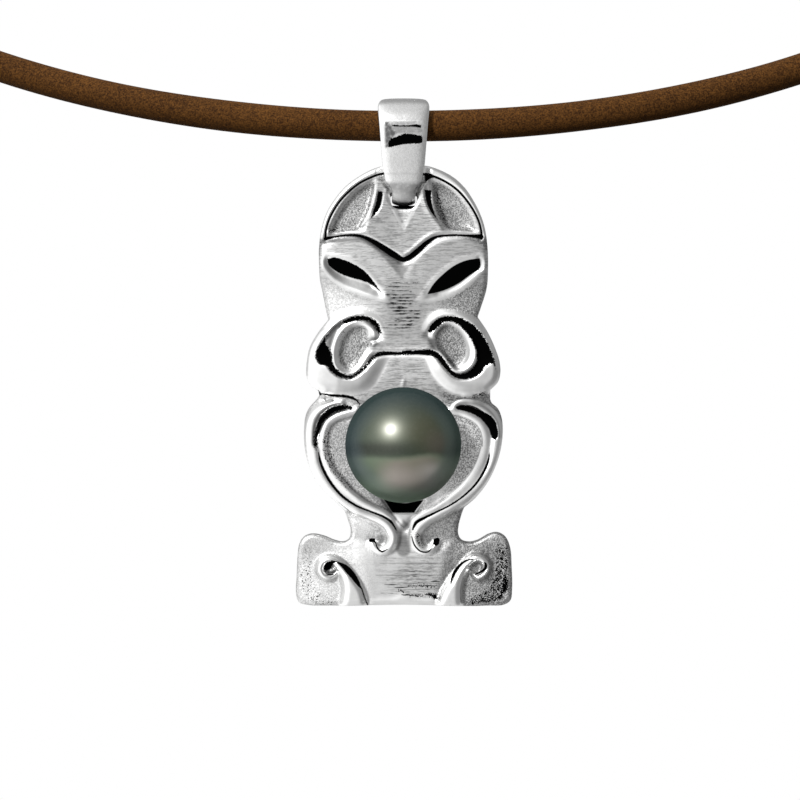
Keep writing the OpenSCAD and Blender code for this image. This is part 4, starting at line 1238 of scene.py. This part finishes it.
def lean_in(u, v):
    """Where the back's edge of the hole is for a point of its front edge."""
    du, dv = u - HOLE_C[0], v - HOLE_C[1]
    r = math.hypot(du, dv)
    low = 8.95 + 0.3 * (1 - (du / 13.2) ** 2)
    if dv < low or r > 18:
        return (float(u), float(v))
    return (float(u), float(HOLE_C[1] + low))


def back_heights(s, u, v):
    """The back's depth behind the cord's centre plane."""
    b = BACK - roll(s, 4.5)
    inside = room_edge(v) - np.abs(u - X0) + 1.8
    b = np.where(b > BRIDGE - 0.03, toward(b, BRIDGE - 0.03, step(inside, -5.0, 0.3)), b)
    hole_in = np.abs(u - X0) < 1.12 * 12
    dv = np.clip((v - BAR_V) / 12, 0, BAR_R)
    under = np.sqrt(np.maximum(BAR_R ** 2 - dv ** 2, 0.0))
    bar = (v > BAR_V) & (v < BAR_V + BAR_R * 12 + 2) & hole_in
    return np.where(bar, np.minimum(b, np.maximum(under, 0.015)), b)


def make_pendant(material):
    h, out, nu, nv, finish = face_heights()
    hole, hu, hv = area(d_hole(), near=True)
    s = np.minimum(out, -hole)
    use_hole = -hole < out
    nu, nv = np.where(use_hole, hu, nu), np.where(use_hole, hv, nv)
    # vertices near the edge go onto it
    snap = np.abs(s) < 0.5 * GRID + 1e-6
    pu, pv = np.where(snap, nu, U), np.where(snap, nv, V)
    sign = np.where(snap, 0, np.sign(s)).astype(int)
    nv_, nu_ = U.shape
    index = -np.ones(U.shape, int)
    a, b = sign[:-1, :-1], sign[:-1, 1:]
    d, c = sign[1:, :-1], sign[1:, 1:]
    keep = (a >= 0).astype(int) + (b >= 0) + (c >= 0) + (d >= 0)
    some = (a > 0) | (b > 0) | (c > 0) | (d > 0)
    # cells whose corners all lie on the edge are kept where their middle is inside
    mid_s = (s[:-1, :-1] + s[:-1, 1:] + s[1:, :-1] + s[1:, 1:]) / 4
    some |= (mid_s > 0)
    faces = []
    ids = np.arange(U.size).reshape(U.shape)
    A, B, C, D = ids[:-1, :-1], ids[:-1, 1:], ids[1:, 1:], ids[1:, :-1]
    full = (keep == 4) & some
    quads = np.stack([A[full], B[full], C[full], D[full]], 1)
    three = (keep == 3) & some
    tris = []
    for j, i in zip(*np.nonzero(three)):
        ring = [(A[j, i], a[j, i]), (B[j, i], b[j, i]), (C[j, i], c[j, i]), (D[j, i], d[j, i])]
        tris.append([q for q, k in ring if k >= 0])
    faces = [tuple(q) for q in quads.tolist()] + [tuple(q) for q in tris]
    used = np.unique(np.concatenate([quads.ravel(), np.array(tris, int).ravel()]))
    remap = -np.ones(U.size, int)
    remap[used] = np.arange(len(used))
    faces = [tuple(int(remap[q]) for q in f) for f in faces]
    fu, fv = pu.ravel()[used], pv.ravel()[used]
    fs = np.where(snap, 0, s).ravel()[used]
    fh = h.ravel()[used]
    attrs = {k: w.ravel()[used] for k, w in finish.items()}

    # edges with one face are the rim
    count = {}
    for f in faces:
        for q, r in zip(f, f[1:] + f[:1]):
            count[(q, r)] = count.get((q, r), 0) + 1
    rim_next = {q: r for (q, r) in count if (r, q) not in count}
    loops, seen = [], set()
    for start in rim_next:
        if start in seen:
            continue
        loop, q = [], start
        while q not in seen and q in rim_next:
            seen.add(q)
            loop.append(q)
            q = rim_next[q]
        loops.append(loop)
    loops = [l for l in loops if len(l) > 12]

    verts = [((u - X0) * UNIT, -hh, -(v - Y0) * UNIT) for u, v, hh in zip(fu, fv, fh)]
    au = {k: list(w) for k, w in attrs.items()}

    def add(u, v, y, like=None):
        verts.append(((u - X0) * UNIT, y, -(v - Y0) * UNIT))
        for k in au:
            au[k].append({"black": -6.0, "brush": 0.38, "stipple": 0.06}.get(k, 0.0))
        return len(verts) - 1

    # side walls, in rows down to the back's own edge; below the bail the hole's wall leans in
    back_edge = {}
    rows = 4
    for loop in loops:
        columns = []
        for q in loop:
            u, v = fu[q], fv[q]
            top = -fh[q]
            base = float(back_heights(np.array(0.0), np.array(u), np.array(v)))
            if base - top < 0.03:
                base = top + 0.03
            bu, bv = lean_in(u, v)
            columns.append([q] + [add(u + (bu - u) * k / rows, v + (bv - v) * k / rows, top + (base - top) * k / rows)
                                  for k in range(1, rows + 1)])
            # painted shadow: below the bail the leaning wall of the hole is painted black, as a wall in shade
            if (bu, bv) != (u, v):
                au["black"][q] = 0.4
                for k in columns[-1][1:]:
                    au["black"][k] = 6.0
            back_edge[q] = columns[-1][-1]
        n = len(columns)
        for i in range(n):
            p, r = columns[i], columns[(i + 1) % n]
            for k in range(rows):
                faces.append((p[k], r[k], r[k + 1], p[k + 1])[::-1])

    # the back: its own coarser net between the same edges
    edge_ids, points = [], []
    segments = []
    for loop in loops:
        first = len(points)
        for q in loop:
            points.append(lean_in(fu[q], fv[q]))
            edge_ids.append(back_edge[q])
        n = len(loop)
        segments += [(first + i, first + (i + 1) % n) for i in range(n)]
    n_edge = len(points)
    jj, ii = np.nonzero(sign > 0)
    ss = s[jj, ii]
    near_room = (np.abs(room_edge(V[jj, ii]) - np.abs(U[jj, ii] - X0) + 2.5) < 6) & (V[jj, ii] < Y0 + 7.8 * 12)
    near_room |= (np.abs(V[jj, ii] - BAR_V - 7) < 9) & (np.abs(U[jj, ii] - X0) < 1.8 * 12)
    take = ((ss < 5.5) & (ss > 0.7) & ((jj + ii) % 2 == 0)) | ((ss >= 5.5) & (jj % 5 == 0) & (ii % 5 == 0)) | (near_room & (ss > 0.7))
    ju, jv = U[jj, ii][take], V[jj, ii][take]
    js = ss[take]
    points += list(zip(ju.tolist(), jv.tolist()))
    got = delaunay_2d_cdt([Vector(p) for p in points], segments, [], 0, 1e-4)
    out_co, out_faces, orig = got[0], got[2], got[3]
    # CDT may merge points; keep the first original of each
    b_ids = []
    co_u = np.array([c.x for c in out_co])
    co_v = np.array([c.y for c in out_co])
    for k, o in enumerate(orig):
        o = [q for q in o if q < n_edge] or list(o)
        if o and o[0] < n_edge:
            b_ids.append(edge_ids[o[0]])
        else:
            sd = js[o[0] - n_edge] if o else 0.0
            y = float(back_heights(np.array(sd), np.array(co_u[k]), np.array(co_v[k])))
            b_ids.append(add(co_u[k], co_v[k], y))
    # triangles whose middle is inside the outline
    poly = [np.array([lean_in(fu[q], fv[q]) for q in loop]) for loop in loops]
    cen = np.array([[sum(co_u[q] for q in f) / len(f), sum(co_v[q] for q in f) / len(f)] for f in out_faces])
    inside = np.zeros(len(cen), bool)
    for p in poly:
        for q, r in zip(p, np.roll(p, -1, axis=0)):
            cross = (q[1] > cen[:, 1]) != (r[1] > cen[:, 1])
            if cross.any():
                xx = q[0] + (cen[:, 1] - q[1]) * (r[0] - q[0]) / ((r[1] - q[1]) or 1e-12)
                inside ^= cross & (cen[:, 0] < xx)
    # their turn is the front's reversed
    uses, rim_pairs = {}, {frozenset((back_edge[q], back_edge[r])) for loop in loops for q, r in zip(loop, loop[1:] + loop[:1])}
    for f, ok in zip(out_faces, inside):
        for q, r in zip(f, f[1:] + f[:1]):
            pair = frozenset((b_ids[q], b_ids[r]))
            uses[pair] = uses.get(pair, 0) + int(ok)
    for f, ok in zip(out_faces, inside):
        # a sliver along a straight rim, outside by a rounding error, is left out
        pairs = [frozenset((b_ids[q], b_ids[r])) for q, r in zip(f, f[1:] + f[:1])]
        if not ok or any(uses[pair] == 1 and pair not in rim_pairs for pair in pairs):
            continue
        g = [b_ids[q] for q in f]
        area2 = sum(co_u[f[i]] * co_v[f[(i + 1) % len(f)]] - co_u[f[(i + 1) % len(f)]] * co_v[f[i]] for i in range(len(f)))
        faces.append(tuple(g if area2 < 0 else g[::-1]))
    w = np.array(verts) * MM + np.array([0, FRONT_Y, FRONT_Z])
    print("pendant faces", len(faces), "loops", [len(l) for l in loops])
    o = make_object("tiki_casting", w, [f for f in faces], material, attributes=au)
    import bmesh
    bm = bmesh.new()
    bm.from_mesh(o.data)
    bmesh.ops.recalc_face_normals(bm, faces=bm.faces)
    open_edges = sum(1 for e in bm.edges if not e.is_manifold)
    print("pendant open edges", open_edges, "triangles", sum(len(f.verts) - 2 for f in bm.faces))
    bm.to_mesh(o.data)
    bm.free()
    o.data.shade_smooth()
    return o


# ---------------------------------------------------------------------------
# the pearl: a half-drilled sphere, turned about its drilled axis
# ---------------------------------------------------------------------------
def make_pearl(material):
    r, bore, depth = 4.79, 0.5, 3.2          # depth: where the drilled hole ends, in front of the cord's plane
    fwd = 3.6
    profile = [(0.0, depth), (0.3, depth), (bore, depth - 0.12)]
    a0 = math.asin(bore / r)
    for k in range(1, 8):
        y_end = fwd - r * math.cos(a0)
        profile.append((bore, depth - 0.12 + (y_end - depth + 0.12) * k / 8))
    for k in range(73):
        a = math.pi - a0 - (math.pi - a0) * k / 72
        profile.append((r * math.sin(a), fwd + r * math.cos(a)))
    m = 120
    verts, faces = [], []
    rows = []
    for q, (rad, hh) in enumerate(profile):
        if rad < 1e-6:
            verts.append(np.array([0, -hh, 0]))
            rows.append([len(verts) - 1])
        else:
            row = []
            for k in range(m):
                a = 2 * math.pi * k / m
                # a natural pearl is a hair off round
                off = 1 + 0.0022 * math.sin(2 * a + 0.6) * math.sin(math.pi * q / len(profile)) + 0.0012 * math.sin(3 * a)
                row.append(len(verts))
                verts.append(np.array([rad * off * math.cos(a), -hh, rad * off * math.sin(a)]))
            rows.append(row)
    for p, r_ in zip(rows, rows[1:]):
        if len(p) == 1:
            faces += [(p[0], r_[(k + 1) % m], r_[k]) for k in range(m)]
        elif len(r_) == 1:
            faces += [(p[k], p[(k + 1) % m], r_[0]) for k in range(m)]
        else:
            faces += [(p[k], p[(k + 1) % m], r_[(k + 1) % m], r_[k]) for k in range(m)]
    w = np.array(verts) * MM + np.array([PEARL_AT[0], FRONT_Y, PEARL_AT[2]])
    return make_object("dark_pearl", w, faces, material)


# ---------------------------------------------------------------------------
# build
# ---------------------------------------------------------------------------
leather = leather_material()
cast = cast_silver_material()
bright = bright_silver_material()
nacre = nacre_material()

cord = make_cord(leather)
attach(cord, "loop")
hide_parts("cord")

clasp = make_clasp(bright)
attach(clasp, "loop")
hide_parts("clasp")

bail = make_bail(bright)
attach(bail, "bail")
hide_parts("bail")

pendant = make_pendant(cast)
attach(pendant, "pendant")
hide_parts("pendant_body")

pearl = make_pearl(nacre)
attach(pearl, "pendant")
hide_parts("pearl")

for name, mat in (("cord", leather), ("clasp", bright), ("bail", bright), ("pendant_body", cast), ("pearl", nacre)):
    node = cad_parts[name]
    node.data.materials.clear()
    node.data.materials.append(mat)

# ---------------------------------------------------------------------------
# floor, light
# ---------------------------------------------------------------------------
bpy.ops.mesh.primitive_circle_add(vertices=96, radius=0.9, fill_type="NGON", location=(0, -0.06, -0.26))
floor = bpy.context.object
floor.name = "floor"
floor.data.materials.append(floor_material())
floor.visible_glossy = False
floor.visible_diffuse = False
cord.visible_glossy = False
pearl.visible_glossy = False

world = bpy.data.worlds.new("studio")
scene.world = world
world.use_nodes = True
wn, wl = world.node_tree.nodes, world.node_tree.links
wn.clear()
texco = wn.new("ShaderNodeTexCoord")
sep = wn.new("ShaderNodeSeparateXYZ")
wl.new(texco.outputs["Generated"], sep.inputs[0])


def wmath(op, a, b=0.0, clamp=False):
    n = wn.new("ShaderNodeMath")
    n.operation = op
    n.use_clamp = clamp
    for i, v in enumerate((a, b)):
        if isinstance(v, bpy.types.NodeSocket):
            wl.new(v, n.inputs[i])
        else:
            n.inputs[i].default_value = v
    return n.outputs[0]


def wramp(v, lo, hi, a, b):
    n = wn.new("ShaderNodeMapRange")
    n.interpolation_type = "SMOOTHSTEP"
    wl.new(v, n.inputs[0])
    for i, q in enumerate((lo, hi, a, b)):
        n.inputs[i + 1].default_value = q
    return n.outputs[0]


left = wramp(sep.outputs["X"], 0.03, -0.42, 0.0, 1.0)
right = wramp(sep.outputs["X"], 0.0, 0.40, 0.0, 1.0)
up = wramp(sep.outputs["Z"], 0.0, 0.75, 0.0, 1.0)
down = wramp(sep.outputs["Z"], -0.05, -0.8, 0.0, 1.0)
behind = wramp(sep.outputs["Y"], 0.0, 0.6, 0.0, 1.0)
# dark behind, level with the necklace, which draws the silver's outline
low = wramp(sep.outputs["Z"], -0.03, -0.24, 1.0, 0.0)
behind = wmath("MULTIPLY", behind, low)
level = wmath("ADD", 0.65, wmath("MULTIPLY", left, 0.60))
level = wmath("SUBTRACT", level, wmath("MULTIPLY", wmath("MULTIPLY", right, 0.37), wramp(sep.outputs["Y"], 0.0, 0.5, 1.0, 0.2)))
level = wmath("ADD", level, wmath("MULTIPLY", up, 0.02))
level = wmath("ADD", level, wmath("MULTIPLY", down, 0.06))
level = wmath("MULTIPLY", level, wmath("SUBTRACT", 1.0, wmath("MULTIPLY", behind, 0.52)))
level = wmath("MAXIMUM", level, 0.04)
# soft light comes down from above, and little comes back from below
sky = wramp(sep.outputs["Z"], -0.35, 0.9, 0.03, 0.95)
path = wn.new("ShaderNodeLightPath")
pick = wn.new("ShaderNodeMix")
pick.data_type = "FLOAT"
wl.new(path.outputs["Is Diffuse Ray"], pick.inputs[0])
wl.new(level, pick.inputs[2])
wl.new(sky, pick.inputs[3])
light_bg = wn.new("ShaderNodeBackground")
wl.new(pick.outputs[0], light_bg.inputs["Strength"])
light_bg.inputs["Color"].default_value = (1, 1, 1, 1)
seen_bg = wn.new("ShaderNodeBackground")
seen_bg.inputs["Color"].default_value = (1, 1, 1, 1)
seen_bg.inputs["Strength"].default_value = 1.0
mix = wn.new("ShaderNodeMixShader")
wl.new(path.outputs["Is Camera Ray"], mix.inputs[0])
wl.new(light_bg.outputs[0], mix.inputs[1])
wl.new(seen_bg.outputs[0], mix.inputs[2])
out_node = wn.new("ShaderNodeOutputWorld")
wl.new(mix.outputs[0], out_node.inputs["Surface"])


def area_light(name, where, size, power, aim=(0, FRONT_Y, -0.11), diffuse=True):
    d = bpy.data.lights.new(name, "AREA")
    d.shape = "DISK"
    d.size = size
    d.energy = power
    o = bpy.data.objects.new(name, d)
    o.visible_diffuse = diffuse
    o.location = where
    o.rotation_euler = (Vector(aim) - Vector(where)).to_track_quat("-Z", "Y").to_euler()
    scene.collection.objects.link(o)
    return o


key_dir = Vector((-0.403, -0.756, 0.513))
area_light("key", Vector(PEARL_AT) + key_dir * 0.9, 0.12, 6.2, PEARL_AT)
# the pearl's own highlight
glint = area_light("glint", Vector(PEARL_AT) + key_dir * 0.88, 0.12, 16.5, PEARL_AT, diffuse=False)
only = bpy.data.collections.new("pearl_only")
only.objects.link(pearl)
glint.light_linking.receiver_collection = only

scene.view_settings.view_transform = "Standard"
scene.view_settings.look = "None"
